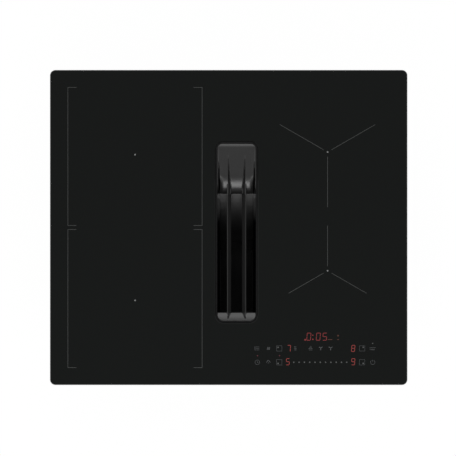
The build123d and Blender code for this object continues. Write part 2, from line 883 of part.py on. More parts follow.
with BuildPart() as filter_frame:
    with BuildSketch(vent_plane.offset(filter_ledge_z)):
        RectangleRounded(grille_w, grille_l - 2 * grille_ledge, tube_r - grille_gap)
    extrude(amount=filter_rim_t)
    with BuildSketch(vent_plane.offset(filter_bottom)):
        RectangleRounded(filter_w, filter_l, filter_r)
    extrude(amount=filter_h)
    with BuildSketch(vent_plane.offset(filter_floor)):
        RectangleRounded(filter_in_w, filter_in_l, filter_r - filter_wall)
    extrude(amount=filter_top - filter_floor, mode=Mode.SUBTRACT)
    # Sloped inner edge of the rim, which leads grease into the cassette
    with BuildSketch(vent_plane.offset(filter_top)):
        RectangleRounded(
            filter_in_w + 2 * filter_rim_slope, filter_in_l + 2 * filter_rim_slope, filter_r
        )
    extrude(amount=-filter_rim_slope, taper=45, mode=Mode.SUBTRACT)
    with BuildSketch(side_plane):
        with Locations((window_y, window_z)):
            RectangleRounded(window_l, window_h, window_frame)
    extrude(amount=filter_w, both=True, mode=Mode.SUBTRACT)
    with BuildSketch(side_plane):
        with BuildLine():
            outer = CenterArc(ramp_centre, ramp_r, 90 + ramp_tilt, 2 * ramp_half_turn)
            inner = CenterArc(
                ramp_centre, ramp_r - filter_wall, 90 + ramp_tilt, 2 * ramp_half_turn
            )
            Line(outer @ 0, inner @ 0)
            Line(outer @ 1, inner @ 1)
        make_face()
    extrude(amount=filter_in_w / 2, both=True)
    with BuildSketch(side_plane):
        with Locations((ramp_y + grip_w, filter_top - grip_drop)):
            SlotOverall(grip_w, grip_t)
    extrude(amount=filter_in_w / 2, both=True)
save(filter_frame, "filter_frame")

# Expanded-metal filter meshes, one inside each window
for side, sign in (("left", -1), ("right", 1)):
    mesh_x = sign * filter_in_w / 2
    with BuildPart() as filter_mesh:
        with BuildSketch(side_plane.offset(mesh_x)):
            with Locations((window_y, window_z)):
                RectangleRounded(
                    window_l + 2 * window_frame, window_h + 2 * window_frame, window_frame
                )
                with GridLocations(
                    mesh_slit_l + mesh_web, mesh_slit_w + mesh_web, mesh_columns, mesh_rows
                ):
                    SlotOverall(mesh_slit_l, mesh_slit_w, mode=Mode.SUBTRACT)
        extrude(amount=-sign * mesh_t)
    save(filter_mesh, f"filter_mesh_{side}")

# The four cooking zones
Zone = namedtuple("Zone", "name x y width length corner_r")
zones = (
    Zone("rear_left", left_zone_x, left_zone_y, left_coil_w, left_coil_l, left_coil_corner_r),
    Zone("front_left", left_zone_x, -left_zone_y, left_coil_w, left_coil_l, left_coil_corner_r),
    Zone(
        "rear_right", right_zone_x, rear_right_y, rear_right_dia, rear_right_dia, rear_right_dia / 2
    ),
    Zone(
        "front_right",
        right_zone_x,
        front_right_y,
        front_right_dia,
        front_right_dia,
        front_right_dia / 2,
    ),
)


def zone_plane(zone, z):
    """Plane at the centre of a zone."""
    return Plane((zone.x, zone.y, z))


def zone_outline(zone, inset, mode=Mode.ADD):
    """Draws the outline of a coil, drawn in by inset, in the open sketch."""
    if 2 * zone.corner_r >= zone.width:
        Circle(zone.width / 2 - inset, mode=mode)
    else:
        RectangleRounded(
            zone.width - 2 * inset, zone.length - 2 * inset, zone.corner_r - inset, mode=mode
        )


for zone in zones:
    # Litz winding in two packs round an open eye
    with BuildPart() as winding:
        with BuildSketch(zone_plane(zone, winding_z)):
            zone_outline(zone, 0)
            zone_outline(zone, winding_pack, mode=Mode.SUBTRACT)
            zone_outline(zone, winding_pack + winding_split)
            Circle(winding_eye_r, mode=Mode.SUBTRACT)
        extrude(amount=winding_t)
    save(winding, f"coil_winding_{zone.name}")

    # Moulded carrier that the winding lies on, with spokes between its openings
    with BuildPart() as carrier:
        with BuildSketch(zone_plane(zone, carrier_z)):
            zone_outline(zone, -carrier_margin)
            Circle(carrier_hole_r, mode=Mode.SUBTRACT)
            with PolarLocations(carrier_slot_r, ferrite_count, start_angle=180 / ferrite_count):
                SlotOverall(carrier_slot_l, carrier_slot_w, mode=Mode.SUBTRACT)
        extrude(amount=carrier_t)
    save(carrier, f"coil_carrier_{zone.name}")

# Mica sheets between the windings and the glass
with BuildPart() as mica_sheets:
    for zone in zones:
        with BuildSketch(zone_plane(zone, mica_z)):
            zone_outline(zone, -mica_margin)
        extrude(amount=mica_t)
save(mica_sheets, "mica_sheets")

# Ferrite bars glued under the carriers like spokes
with BuildPart() as ferrite_bars:
    for zone in zones:
        ferrite_l = zone.width / 2 - ferrite_end - ferrite_inner_r
        with BuildSketch(zone_plane(zone, ferrite_z)):
            with PolarLocations(ferrite_inner_r + ferrite_l / 2, ferrite_count):
                Rectangle(ferrite_l, ferrite_w)
        extrude(amount=ferrite_t)
save(ferrite_bars, "ferrite_bars")

# Silicone pads that press each coil up against the glass
with BuildPart() as coil_pads:
    for zone in zones:
        pad_circle_r = zone.width / 2 - pad_inset
        with BuildSketch(zone_plane(zone, plate_top)):
            with PolarLocations(pad_circle_r, pad_count, start_angle=180 / ferrite_count):
                Circle(pad_r)
        extrude(amount=pad_h)
save(coil_pads, "coil_pads")

# Temperature sensors in the eyes of the coils
with BuildPart() as temperature_sensors:
    for zone in zones:
        with BuildSketch(zone_plane(zone, carrier_z - sensor_tail)):
            Circle(sensor_r)
        extrude(amount=mica_z - carrier_z + sensor_tail)
        with BuildSketch(zone_plane(zone, winding_z)):
            Circle(sensor_rim_r)
        extrude(amount=sensor_rim_t)
save(temperature_sensors, "temperature_sensors")

# Coil plates: folded aluminium channels that stand on the tray floor
plate_l = tray_in_d - 2 * plate_margin
for side, x0, x1 in (
    ("left", left_plate_x0, left_plate_x1),
    ("right", right_plate_x0, right_plate_x1),
):
    plate_mid = ((x0 + x1) / 2, 0)
    with BuildPart() as coil_plate:
        with BuildSketch(Plane((*plate_mid, floor_z))):
            Rectangle(x1 - x0, plate_l)
        extrude(amount=plate_top - floor_z)
        with BuildSketch(Plane((*plate_mid, floor_z))):
            Rectangle(x1 - x0 - 2 * plate_sheet, plate_l)
        extrude(amount=plate_z - floor_z, mode=Mode.SUBTRACT)
        with BuildSketch(Plane((*plate_mid, plate_z))):
            with GridLocations(wire_hole_x, wire_hole_y, 2, 2):
                SlotOverall(wire_hole_l, wire_hole_w)
        extrude(amount=plate_sheet, mode=Mode.SUBTRACT)
    save(coil_plate, f"coil_plate_{side}")

# Touch control: carrier on the right coil plate, board on its ledge, pads and digits under the glass
panel_floor_z = glass_z - panel_h
panel_board_top = glass_z - panel_board_drop
panel_board_z = panel_board_top - board_t
panel_in_w = panel_w - 2 * panel_wall
panel_in_d = panel_d - 2 * panel_wall

with BuildPart() as panel_carrier:
    with BuildSketch(Plane((panel_x, panel_y, panel_floor_z))):
        RectangleRounded(panel_w, panel_d, panel_corner_r)
    extrude(amount=panel_h)
    with BuildSketch(Plane((panel_x, panel_y, panel_board_z))):
        RectangleRounded(panel_in_w, panel_in_d, panel_corner_r - panel_wall)
    extrude(amount=glass_z - panel_board_z, mode=Mode.SUBTRACT)
    with BuildSketch(Plane((panel_x, panel_y, panel_floor_z + panel_wall))):
        Rectangle(panel_in_w - 2 * panel_wall, panel_in_d - 2 * panel_wall)
    extrude(amount=panel_board_z - panel_floor_z - panel_wall, mode=Mode.SUBTRACT)
    with BuildSketch(Plane((0, panel_y, plate_top))):
        for leg_x in (right_plate_x0 + panel_leg_inset, panel_x + panel_w / 2 - panel_leg_side):
            with Locations((leg_x, -panel_leg_y), (leg_x, panel_leg_y)):
                Circle(panel_leg_r)
    extrude(amount=panel_floor_z - plate_top)
save(panel_carrier, "panel_carrier")

with BuildPart() as control_board:
    with BuildSketch(Plane((panel_x, panel_y, panel_board_z))):
        RectangleRounded(
            panel_in_w - 2 * frame_clearance,
            panel_in_d - 2 * frame_clearance,
            panel_corner_r - panel_wall,
        )
    extrude(amount=board_t)
save(control_board, "control_board")

key_row_y = (upper_row_y, lower_row_y)
key_spots = [(x, y) for x in outer_key_xs for y in key_row_y] + [(x, upper_row_y) for x in fan_key_xs]
panel_top_plane = Plane((panel_x, panel_y, panel_board_top))
with BuildPart() as touch_pads:
    with BuildSketch(panel_top_plane):
        with Locations(*key_spots):
            Circle(key_pad_r)
        with Locations((slider_x, lower_row_y)):
            SlotOverall(slider_l, slider_w)
    extrude(amount=panel_board_drop)
save(touch_pads, "touch_pads")

with BuildPart() as zone_displays:
    with BuildSketch(panel_top_plane):
        with Locations(*[(x, y) for x in zone_digit_xs for y in key_row_y]):
            Rectangle(zone_digit_w, zone_digit_h)
    extrude(amount=display_t)
save(zone_displays, "zone_displays")

with BuildPart() as timer_display:
    with BuildSketch(panel_top_plane):
        with Locations((timer_x, timer_y)):
            Rectangle(timer_w, timer_h)
    extrude(amount=display_t)
save(timer_display, "timer_display")

# Power electronics, one board in each bay
bays = (("left", left_bay_x, left_board_w), ("right", right_bay_x, right_board_w))
sink_z = power_board_top + igbt_t
for side, bay_x, board_w in bays:
    with BuildPart() as power_board:
        with BuildSketch(Plane((bay_x, power_board_y, power_board_z))):
            RectangleRounded(board_w, power_board_l, standoff_r)
        extrude(amount=board_t)
    save(power_board, f"power_board_{side}")

    # Extruded heat sink that lies on the transistors
    with BuildPart() as heat_sink:
        with BuildSketch(cross_plane(bay_x - sink_offset, power_board_y + sink_l / 2)):
            with Locations((0, sink_z + sink_base_t / 2)):
                Rectangle(sink_w, sink_base_t)
            with Locations((0, sink_z + sink_h / 2)):
                with GridLocations((sink_w - fin_t) / (fin_count - 1), 0, fin_count, 1):
                    Rectangle(fin_t, sink_h)
        extrude(amount=sink_l)
    save(heat_sink, f"heat_sink_{side}")

with BuildPart() as board_standoffs:
    for side, bay_x, board_w in bays:
        with BuildSketch(Plane((bay_x, power_board_y, floor_z))):
            with GridLocations(
                board_w - 2 * standoff_inset, power_board_l - 2 * standoff_inset, 2, 2
            ):
                Circle(standoff_r)
        extrude(amount=standoff_h)
save(board_standoffs, "board_standoffs")

with BuildPart() as power_transistors:
    for side, bay_x, board_w in bays:
        with BuildSketch(Plane((bay_x - sink_offset, power_board_y, power_board_top))):
            with GridLocations(0, igbt_pitch, 1, igbt_count):
                Rectangle(igbt_w, igbt_l)
        extrude(amount=igbt_t)
save(power_transistors, "power_transistors")

with BuildPart() as filter_capacitors:
    for side, bay_x, board_w in bays:
        with BuildSketch(Plane((bay_x + sink_offset, power_board_y, power_board_top))):
            with GridLocations(0, capacitor_pitch, 1, capacitor_count):
                RectangleRounded(capacitor_w, capacitor_l, capacitor_r)
        extrude(amount=capacitor_h)
save(filter_capacitors, "filter_capacitors")

with BuildPart() as choke_coils:
    for side, bay_x, board_w in bays:
        choke_plane = cross_plane(bay_x + choke_offset, power_board_y)
        with BuildSketch(choke_plane):
            with Locations((choke_r, power_board_top + choke_h / 2)):
                RectangleRounded(choke_section_w, choke_h, choke_section_r)
        revolve(axis=Axis((bay_x + choke_offset, power_board_y, 0), (0, 0, 1)))
save(choke_coils, "choke_coils")

# Cooling fans over the inlets of the tray
fan_floor_top = floor_z + fan_base_t
rotor_z = fan_floor_top + fan_lift
cooling_rotor_top = floor_z + fan_h - fan_lift
blade_tip_r = fan_bore_r - fan_tip_gap
for side, bay_x, board_w in bays:
    fan_plane = Plane((bay_x, fan_y, floor_z))
    with BuildPart() as cooling_fan_frame:
        with BuildSketch(fan_plane):
            RectangleRounded(fan_size, fan_size, fan_corner_r)
            Circle(fan_bore_r, mode=Mode.SUBTRACT)
            with GridLocations(fan_hole_pitch, fan_hole_pitch, 2, 2):
                Circle(fan_hole_r, mode=Mode.SUBTRACT)
        extrude(amount=fan_h)
        with BuildSketch(fan_plane):
            Circle(fan_hub_r)
            with PolarLocations(fan_bore_r / 2, fan_arms):
                Rectangle(fan_bore_r, fan_arm_w)
        extrude(amount=fan_base_t)
        with BuildSketch(fan_plane.offset(fan_base_t)):
            Circle(fan_pin_r)
        extrude(amount=fan_pin_l)
    save(cooling_fan_frame, f"cooling_fan_frame_{side}")

    # Rotor: a cup-shaped hub with twisted blades
    with BuildPart() as cooling_fan_rotor:
        with BuildSketch(Plane((bay_x, fan_y, rotor_z))):
            Circle(fan_hub_r)
        extrude(amount=cooling_rotor_top - rotor_z)
        hub_rim = cooling_fan_rotor.faces().sort_by(Axis.Z)[-1].edges()
        fillet(hub_rim, fan_hub_edge_r)
        blade_mid_z = (rotor_z + cooling_rotor_top) / 2
        for index in range(blade_count):
            angle = math.radians(index * 360 / blade_count)
            outward = Vector(math.cos(angle), math.sin(angle), 0)
            around = Vector(-math.sin(angle), math.cos(angle), 0)
            for radius, pitch in (
                (fan_hub_r - blade_t, blade_root_pitch),
                (blade_tip_r, blade_tip_pitch),
            ):
                slope = math.radians(pitch)
                chord = around * math.sin(slope) + Vector(0, 0, math.cos(slope))
                centre = Vector(bay_x, fan_y, blade_mid_z) + outward * radius
                with BuildSketch(Plane(centre, x_dir=chord, z_dir=outward)):
                    SlotOverall(blade_chord, blade_t)
            loft()
        with BuildSketch(Plane((bay_x, fan_y, rotor_z))):
            Circle(fan_pin_r + running_gap)
        extrude(amount=fan_pin_l - fan_lift + fan_lift / 2, mode=Mode.SUBTRACT)
    save(cooling_fan_rotor, f"cooling_fan_rotor_{side}")

# Mains terminal box under the tray, with its block and gland
terminal_plane = Plane((terminal_x, terminal_y, tray_bottom))
terminal_rear_y = terminal_y + terminal_l / 2
gland_plane = Plane(
    (terminal_x, terminal_rear_y, tray_bottom - terminal_h / 2), x_dir=(1, 0, 0), z_dir=(0, 1, 0)
)
with BuildPart() as terminal_cover:
    with BuildSketch(terminal_plane):
        RectangleRounded(terminal_w, terminal_l, terminal_corner_r)
    extrude(amount=-terminal_h)
    fillet(terminal_cover.faces().sort_by(Axis.Z)[0].edges(), terminal_wall)
    with BuildSketch(terminal_plane):
        RectangleRounded(
            terminal_w + 2 * module_flange_w, 2 * module_flange_w, terminal_corner_r
        )
    extrude(amount=-terminal_wall)
    with BuildSketch(terminal_plane):
        RectangleRounded(
            terminal_w - 2 * terminal_wall,
            terminal_l - 2 * terminal_wall,
            terminal_corner_r - terminal_wall,
        )
    extrude(amount=-terminal_h + terminal_wall, mode=Mode.SUBTRACT)
    with BuildSketch(gland_plane):
        Circle(gland_thread_r + frame_clearance)
    extrude(amount=-2 * terminal_wall, mode=Mode.SUBTRACT)
    with BuildSketch(Plane.XY.offset(tray_bottom)):
        with Locations(*terminal_screw_spots):
            Circle(screw_r + frame_clearance)
    extrude(amount=-terminal_wall, mode=Mode.SUBTRACT)
save(terminal_cover, "terminal_cover")

with BuildPart() as terminal_block:
    with BuildSketch(terminal_plane.offset(0)):
        Rectangle(terminal_block_w, terminal_block_l)
    extrude(amount=-terminal_block_h)
    with BuildSketch(terminal_plane.offset(-terminal_block_h)):
        with GridLocations(terminal_block_w / terminal_ways, 0, terminal_ways, 1):
            Circle(screw_r)
    extrude(amount=terminal_block_h / 2, mode=Mode.SUBTRACT)
save(terminal_block, "terminal_block")

with BuildPart() as cable_gland:
    with BuildSketch(gland_plane):
        RegularPolygon(gland_r, 6)
    extrude(amount=gland_l)
    gland_mouth = cable_gland.faces().sort_by(Axis.Y)[-1]
    chamfer(gland_mouth.edges(), gland_edge)
    with BuildSketch(gland_plane):
        Circle(gland_thread_r)
    extrude(amount=-terminal_wall)
    with BuildSketch(gland_plane.offset(-terminal_wall)):
        RegularPolygon(gland_r, 6)
    extrude(amount=-gland_nut_t)
    with BuildSketch(gland_plane.offset(gland_l)):
        Circle(gland_bore_r)
    extrude(amount=-gland_l - terminal_wall - gland_nut_t, mode=Mode.SUBTRACT)
save(cable_gland, "cable_gland")

# Air box: chamber under the intake and plenum over the fan, moulded in one with its flange
bellmouth_throat_r = impeller_eye_r - bellmouth_gap - bellmouth_wall
bellmouth_centre_r = bellmouth_throat_r + bellmouth_r
plenum_floor_z = plenum_bottom + wall
bellmouth_top = plenum_floor_z + bellmouth_flange_t
bellmouth_hole_r = bellmouth_centre_r - bellmouth_wall
plenum_w = chamber_x0 - plenum_left
plenum_l = chamber_y1 - plenum_front
plenum_x = (plenum_left + chamber_x0) / 2
plenum_y = (plenum_front + chamber_y1) / 2


def air_box_outline(grow, radius):
    """Draws the joined plan of the chamber and the plenum, grown all round, in the open sketch."""
    with Locations((vent_x, vent_y)):
        RectangleRounded(chamber_w + 2 * grow, chamber_l + 2 * grow, radius)
    with Locations((plenum_x + chamber_r, plenum_y)):
        RectangleRounded(plenum_w + 2 * chamber_r + 2 * grow, plenum_l + 2 * grow, radius)


with BuildPart() as air_box:
    with BuildSketch(Plane((vent_x, vent_y, module_bottom))):
        RectangleRounded(chamber_w, chamber_l, chamber_r)
    extrude(amount=tray_bottom - module_bottom)
    fillet(air_box.faces().sort_by(Axis.Z)[0].edges(), chamber_edge_r)
    with BuildSketch(Plane.XY.offset(plenum_bottom)):
        air_box_outline(0, chamber_r)
    extrude(amount=tray_bottom - plenum_bottom)
    with BuildSketch(Plane.XY.offset(tray_bottom)):
        air_box_outline(module_flange_w, chamber_r + module_flange_w)
    extrude(amount=-module_flange_t)
    with BuildSketch(Plane((chamber_x1, vent_y, 0), x_dir=(0, 1, 0), z_dir=(1, 0, 0))):
        with Locations((0, (module_bottom + tray_bottom) / 2)):
            with GridLocations(rib_pitch, 0, rib_count, 1):
                Rectangle(rib_t, tray_bottom - module_bottom - 2 * chamber_r)
    extrude(amount=rib_h)
    with BuildSketch(Plane((vent_x, vent_y, module_bottom + wall))):
        RectangleRounded(chamber_w - 2 * wall, chamber_l - 2 * wall, chamber_r - wall)
    extrude(amount=tray_bottom - module_bottom - wall, mode=Mode.SUBTRACT)
    with BuildSketch(Plane.XY.offset(plenum_floor_z)):
        air_box_outline(-wall, chamber_r - wall)
    extrude(amount=tray_bottom - plenum_floor_z, mode=Mode.SUBTRACT)
    with BuildSketch(Plane((fan_axis_x, fan_axis_y, plenum_bottom))):
        Circle(bellmouth_hole_r)
    extrude(amount=wall, mode=Mode.SUBTRACT)
    with BuildSketch(Plane.XY.offset(tray_bottom)):
        with Locations(*module_screw_spots):
            Circle(screw_r + frame_clearance)
    extrude(amount=-module_flange_t, mode=Mode.SUBTRACT)
    with BuildSketch(Plane.XY.offset(plenum_bottom)):
        with Locations(*lug_spots):
            Circle(screw_r)
    extrude(amount=wall, mode=Mode.SUBTRACT)
save(air_box, "air_box")

# Screws from below, through the flanges into the tray and through the lugs into the plenum floor
with BuildPart() as module_screws:
    for spots, joint_z, clamped_t, thread_t in (
        (module_screw_spots, tray_bottom, module_flange_t, tray_sheet),
        (terminal_screw_spots, tray_bottom, terminal_wall, tray_sheet),
        (lug_spots, plenum_bottom, lug_t, wall),
    ):
        with BuildSketch(Plane.XY.offset(joint_z - clamped_t)):
            with Locations(*spots):
                Circle(screw_head_r)
        extrude(amount=-screw_head_h)
        with BuildSketch(Plane.XY.offset(joint_z - clamped_t)):
            with Locations(*spots):
                Circle(screw_r - running_gap)
        extrude(amount=clamped_t + thread_t)
save(module_screws, "module_screws")

# Bellmouth that leads the air from the plenum into the eye of the impeller
fan_side_plane = Plane((fan_axis_x, fan_axis_y, 0), x_dir=(1, 0, 0), z_dir=(0, -1, 0))
fan_axis = Axis((fan_axis_x, fan_axis_y, 0), (0, 0, 1))
bellmouth_centre = (bellmouth_centre_r, bellmouth_top - bellmouth_r)
with BuildPart() as inlet_bellmouth:
    with BuildSketch(fan_side_plane):
        with BuildLine():
            throat = CenterArc(bellmouth_centre, bellmouth_r, 90, 90)
            back = CenterArc(bellmouth_centre, bellmouth_r - bellmouth_wall, 90, 90)
            Line(throat @ 1, back @ 1)
            Polyline(
                back @ 0,
                (bellmouth_centre_r, plenum_floor_z),
                (bellmouth_centre_r + bellmouth_flange, plenum_floor_z),
                (bellmouth_centre_r + bellmouth_flange, bellmouth_top),
                throat @ 0,
            )
        make_face()
    revolve(axis=fan_axis)
save(inlet_bellmouth, "inlet_bellmouth")

# Scroll housing: four-centre spiral that opens towards the rear
scroll_left = fan_axis_x - half_step - scroll_r - 2 * scroll_step
scroll_right = fan_axis_x + half_step
scroll_roof_z = plenum_bottom - wall
tongue_tip = (scroll_right, fan_axis_y - half_step + scroll_r)


def scroll_edges(end_y):
    """Edges of the inner outline of the spiral, with its outlet carried on to end_y."""
    with BuildLine() as spiral:
        first = CenterArc((fan_axis_x + half_step, fan_axis_y - half_step), scroll_r, 90, -90)
        CenterArc(
            (fan_axis_x - half_step, fan_axis_y - half_step), scroll_r + scroll_step, 0, -90
        )
        third = CenterArc(
            (fan_axis_x - half_step, fan_axis_y + half_step), scroll_r + 2 * scroll_step, -90, -90
        )
        Polyline(third @ 1, (scroll_left, end_y), (scroll_right, end_y), first @ 0)
    return spiral.edges()


with BuildPart() as scroll_housing:
    with BuildSketch(Plane.XY.offset(module_bottom)):
        make_face(scroll_edges(outlet_y - wall))
        offset(amount=wall)
    extrude(amount=plenum_bottom - module_bottom)
    fillet(scroll_housing.faces().sort_by(Axis.Z)[0].edges(), scroll_edge_r)
    with BuildSketch(Plane.XY.offset(plenum_bottom)):
        with Locations(*lug_spots):
            Circle(lug_r)
    extrude(amount=-lug_t)
    with BuildSketch(Plane.XY.offset(plenum_bottom)):
        with Locations(*lug_spots):
            Circle(screw_r + frame_clearance)
    extrude(amount=-lug_t, mode=Mode.SUBTRACT)
    with BuildSketch(Plane.XY.offset(scroll_floor_z)) as scroll_hollow:
        make_face(scroll_edges(outlet_y + wall))
        fillet(scroll_hollow.vertices().sort_by_distance(tongue_tip)[0], tongue_r)
    extrude(amount=scroll_roof_z - scroll_floor_z, mode=Mode.SUBTRACT)
    with BuildSketch(Plane((fan_axis_x, fan_axis_y, module_bottom))):
        Circle(floor_rise_r + wall)
    extrude(amount=motor_floor_z - module_bottom)
    with BuildSketch(Plane((fan_axis_x, fan_axis_y, module_bottom))):
        Circle(floor_rise_r)
    extrude(amount=floor_rise, mode=Mode.SUBTRACT)
    with BuildSketch(Plane((fan_axis_x, fan_axis_y, module_bottom + floor_rise))):
        Circle(well_hub_r)
        with PolarLocations(well_rib_r / 2, well_rib_count):
            Rectangle(well_rib_r, well_rib_t)
        Circle(well_hub_r - wall, mode=Mode.SUBTRACT)
    extrude(amount=-well_rib_h)
    with BuildSketch(Plane((fan_axis_x, fan_axis_y, module_bottom + floor_rise))):
        with PolarLocations(damper_circle_r, damper_count, start_angle=damper_turn):
            Circle(damper_hole_r)
    extrude(amount=wall, mode=Mode.SUBTRACT)
    with BuildSketch(Plane((fan_axis_x, fan_axis_y, scroll_roof_z))):
        Circle(bellmouth_hole_r)
    extrude(amount=wall, mode=Mode.SUBTRACT)
save(scroll_housing, "scroll_housing")

# Impeller: backward-curved blades between a back plate and a shroud, with a cup for the motor
blade_angle = math.radians(impeller_blade_sweep)
blade_line = RadiusArc(
    (impeller_blade_inner_r, 0),
    (
        (impeller_r - impeller_blade_t) * math.cos(blade_angle),
        (impeller_r - impeller_blade_t) * math.sin(blade_angle),
    ),
    impeller_blade_arc_r,
    mode=Mode.PRIVATE,
)
hub_r = rotor_r + seat_gap
with BuildPart() as impeller:
    with BuildSketch(fan_side_plane):
        with BuildLine():
            Polyline(
                (hub_r, back_plate_z),
                (impeller_r, back_plate_z),
                (impeller_r, back_plate_z + back_plate_t),
                (hub_r + hub_wall, back_plate_z + back_plate_t),
                (hub_r + hub_wall, rotor_top + hub_wall),
                (0, rotor_top + hub_wall),
                (0, rotor_top),
                (hub_r, rotor_top),
                close=True,
            )
        make_face()
    revolve(axis=fan_axis)
    with BuildSketch(Plane((fan_axis_x, fan_axis_y, back_plate_z))):
        with PolarLocations(0, impeller_blades):
            SlotArc(blade_line, impeller_blade_t)
    extrude(amount=shroud_top - back_plate_z)
    with BuildSketch(Plane((fan_axis_x, fan_axis_y, shroud_top - shroud_t))):
        Circle(impeller_r)
        Circle(impeller_eye_r, mode=Mode.SUBTRACT)
    extrude(amount=shroud_t)
    with BuildSketch(Plane((fan_axis_x, fan_axis_y, shroud_top))):
        Circle(impeller_eye_r + shroud_t)
        Circle(impeller_eye_r, mode=Mode.SUBTRACT)
    extrude(amount=eye_collar_h)
save(impeller, "impeller")

# Outer rotor of the motor: a steel cup pressed into the impeller
with BuildPart() as rotor_cup:
    with BuildSketch(Plane((fan_axis_x, fan_axis_y, back_plate_z))):
        Circle(rotor_r)
    extrude(amount=rotor_h)
    with BuildSketch(Plane((fan_axis_x, fan_axis_y, back_plate_z))):
        Circle(rotor_r - rotor_wall)
    extrude(amount=rotor_h - rotor_wall, mode=Mode.SUBTRACT)
    with BuildSketch(Plane((fan_axis_x, fan_axis_y, rotor_top - rotor_wall))):
        Circle(shaft_r + seat_gap)
    extrude(amount=rotor_wall, mode=Mode.SUBTRACT)
save(rotor_cup, "rotor_cup")

with BuildPart() as motor_shaft:
    with BuildSketch(Plane((fan_axis_x, fan_axis_y, motor_plate_top + shaft_end_gap))):
        Circle(shaft_r)
    extrude(amount=rotor_top - motor_plate_top - shaft_end_gap)
save(motor_shaft, "motor_shaft")

# Two ball bearings in the stator tube
tube_top = rotor_top - rotor_wall - stator_lift
lower_bearing_z = motor_plate_top + bearing_inset
upper_bearing_z = tube_top - bearing_inset - bearing_h
with BuildPart() as motor_bearings:
    for z in (lower_bearing_z, upper_bearing_z):
        with BuildSketch(Plane((fan_axis_x, fan_axis_y, z))):
            Circle(bearing_r)
            Circle(shaft_r + running_gap, mode=Mode.SUBTRACT)
        extrude(amount=bearing_h)
save(motor_bearings, "motor_bearings")

# Stator: bearing tube with a foot on the motor plate, ring, teeth and pole shoes
stator_r = rotor_r - rotor_wall - stator_gap
stator_z = back_plate_z + stator_lift
tube_outer_r = bearing_r + bearing_tube_wall
with BuildPart() as motor_stator:
    with BuildSketch(Plane((fan_axis_x, fan_axis_y, motor_plate_top))):
        Circle(tube_outer_r)
    extrude(amount=tube_top - motor_plate_top)
    with BuildSketch(Plane((fan_axis_x, fan_axis_y, motor_plate_top))):
        Circle(stator_ring_r)
    extrude(amount=stator_z - motor_plate_top)
    with BuildSketch(Plane((fan_axis_x, fan_axis_y, stator_z))):
        Circle(stator_r)
        Circle(stator_r - stator_shoe_t, mode=Mode.SUBTRACT)
        with PolarLocations(stator_r, stator_teeth, start_angle=180 / stator_teeth):
            Rectangle(4 * stator_shoe_t, stator_shoe_gap, mode=Mode.SUBTRACT)
        Circle(stator_ring_r)
        with PolarLocations((stator_ring_r + stator_r - stator_shoe_t) / 2, stator_teeth):
            Rectangle(stator_r - stator_ring_r, stator_tooth_w)
    extrude(amount=stator_h)
    with BuildSketch(Plane((fan_axis_x, fan_axis_y, motor_plate_top))):
        Circle(bearing_r + seat_gap)
    extrude(amount=tube_top - motor_plate_top, mode=Mode.SUBTRACT)
save(motor_stator, "motor_stator")

# Motor plate on four rubber dampers
with BuildPart() as motor_plate:
    with BuildSketch(Plane((fan_axis_x, fan_axis_y, motor_plate_z))):
        Circle(motor_plate_r)
        with PolarLocations(damper_circle_r, damper_count, start_angle=damper_turn):
            Circle(screw_r + frame_clearance, mode=Mode.SUBTRACT)
    extrude(amount=motor_plate_t)
save(motor_plate, "motor_plate")

damper_bottom = module_bottom + floor_rise - damper_flange_t
with BuildPart() as motor_dampers:
    with BuildSketch(Plane((fan_axis_x, fan_axis_y, damper_bottom))):
        with PolarLocations(damper_circle_r, damper_count, start_angle=damper_turn):
            Circle(damper_hole_r - seat_gap)
    extrude(amount=motor_plate_z - damper_bottom)
    for z in (damper_bottom, motor_floor_z):
        with BuildSketch(Plane((fan_axis_x, fan_axis_y, z))):
            with PolarLocations(damper_circle_r, damper_count, start_angle=damper_turn):
                Circle(damper_r)
        extrude(amount=damper_flange_t)
    with BuildSketch(Plane((fan_axis_x, fan_axis_y, damper_bottom))):
        with PolarLocations(damper_circle_r, damper_count, start_angle=damper_turn):
            Circle(screw_r + damper_bore_gap)
    extrude(amount=motor_plate_z - damper_bottom, mode=Mode.SUBTRACT)
save(motor_dampers, "motor_dampers")

with BuildPart() as motor_screws:
    with BuildSketch(Plane((fan_axis_x, fan_axis_y, damper_bottom))):
        with PolarLocations(damper_circle_r, damper_count, start_angle=damper_turn):
            Circle(screw_head_r)
    extrude(amount=-screw_head_h)
    with BuildSketch(Plane((fan_axis_x, fan_axis_y, damper_bottom))):
        with PolarLocations(damper_circle_r, damper_count, start_angle=damper_turn):
            Circle(screw_r)
    extrude(amount=motor_plate_top - damper_bottom + screw_head_h / 2)
save(motor_screws, "motor_screws")

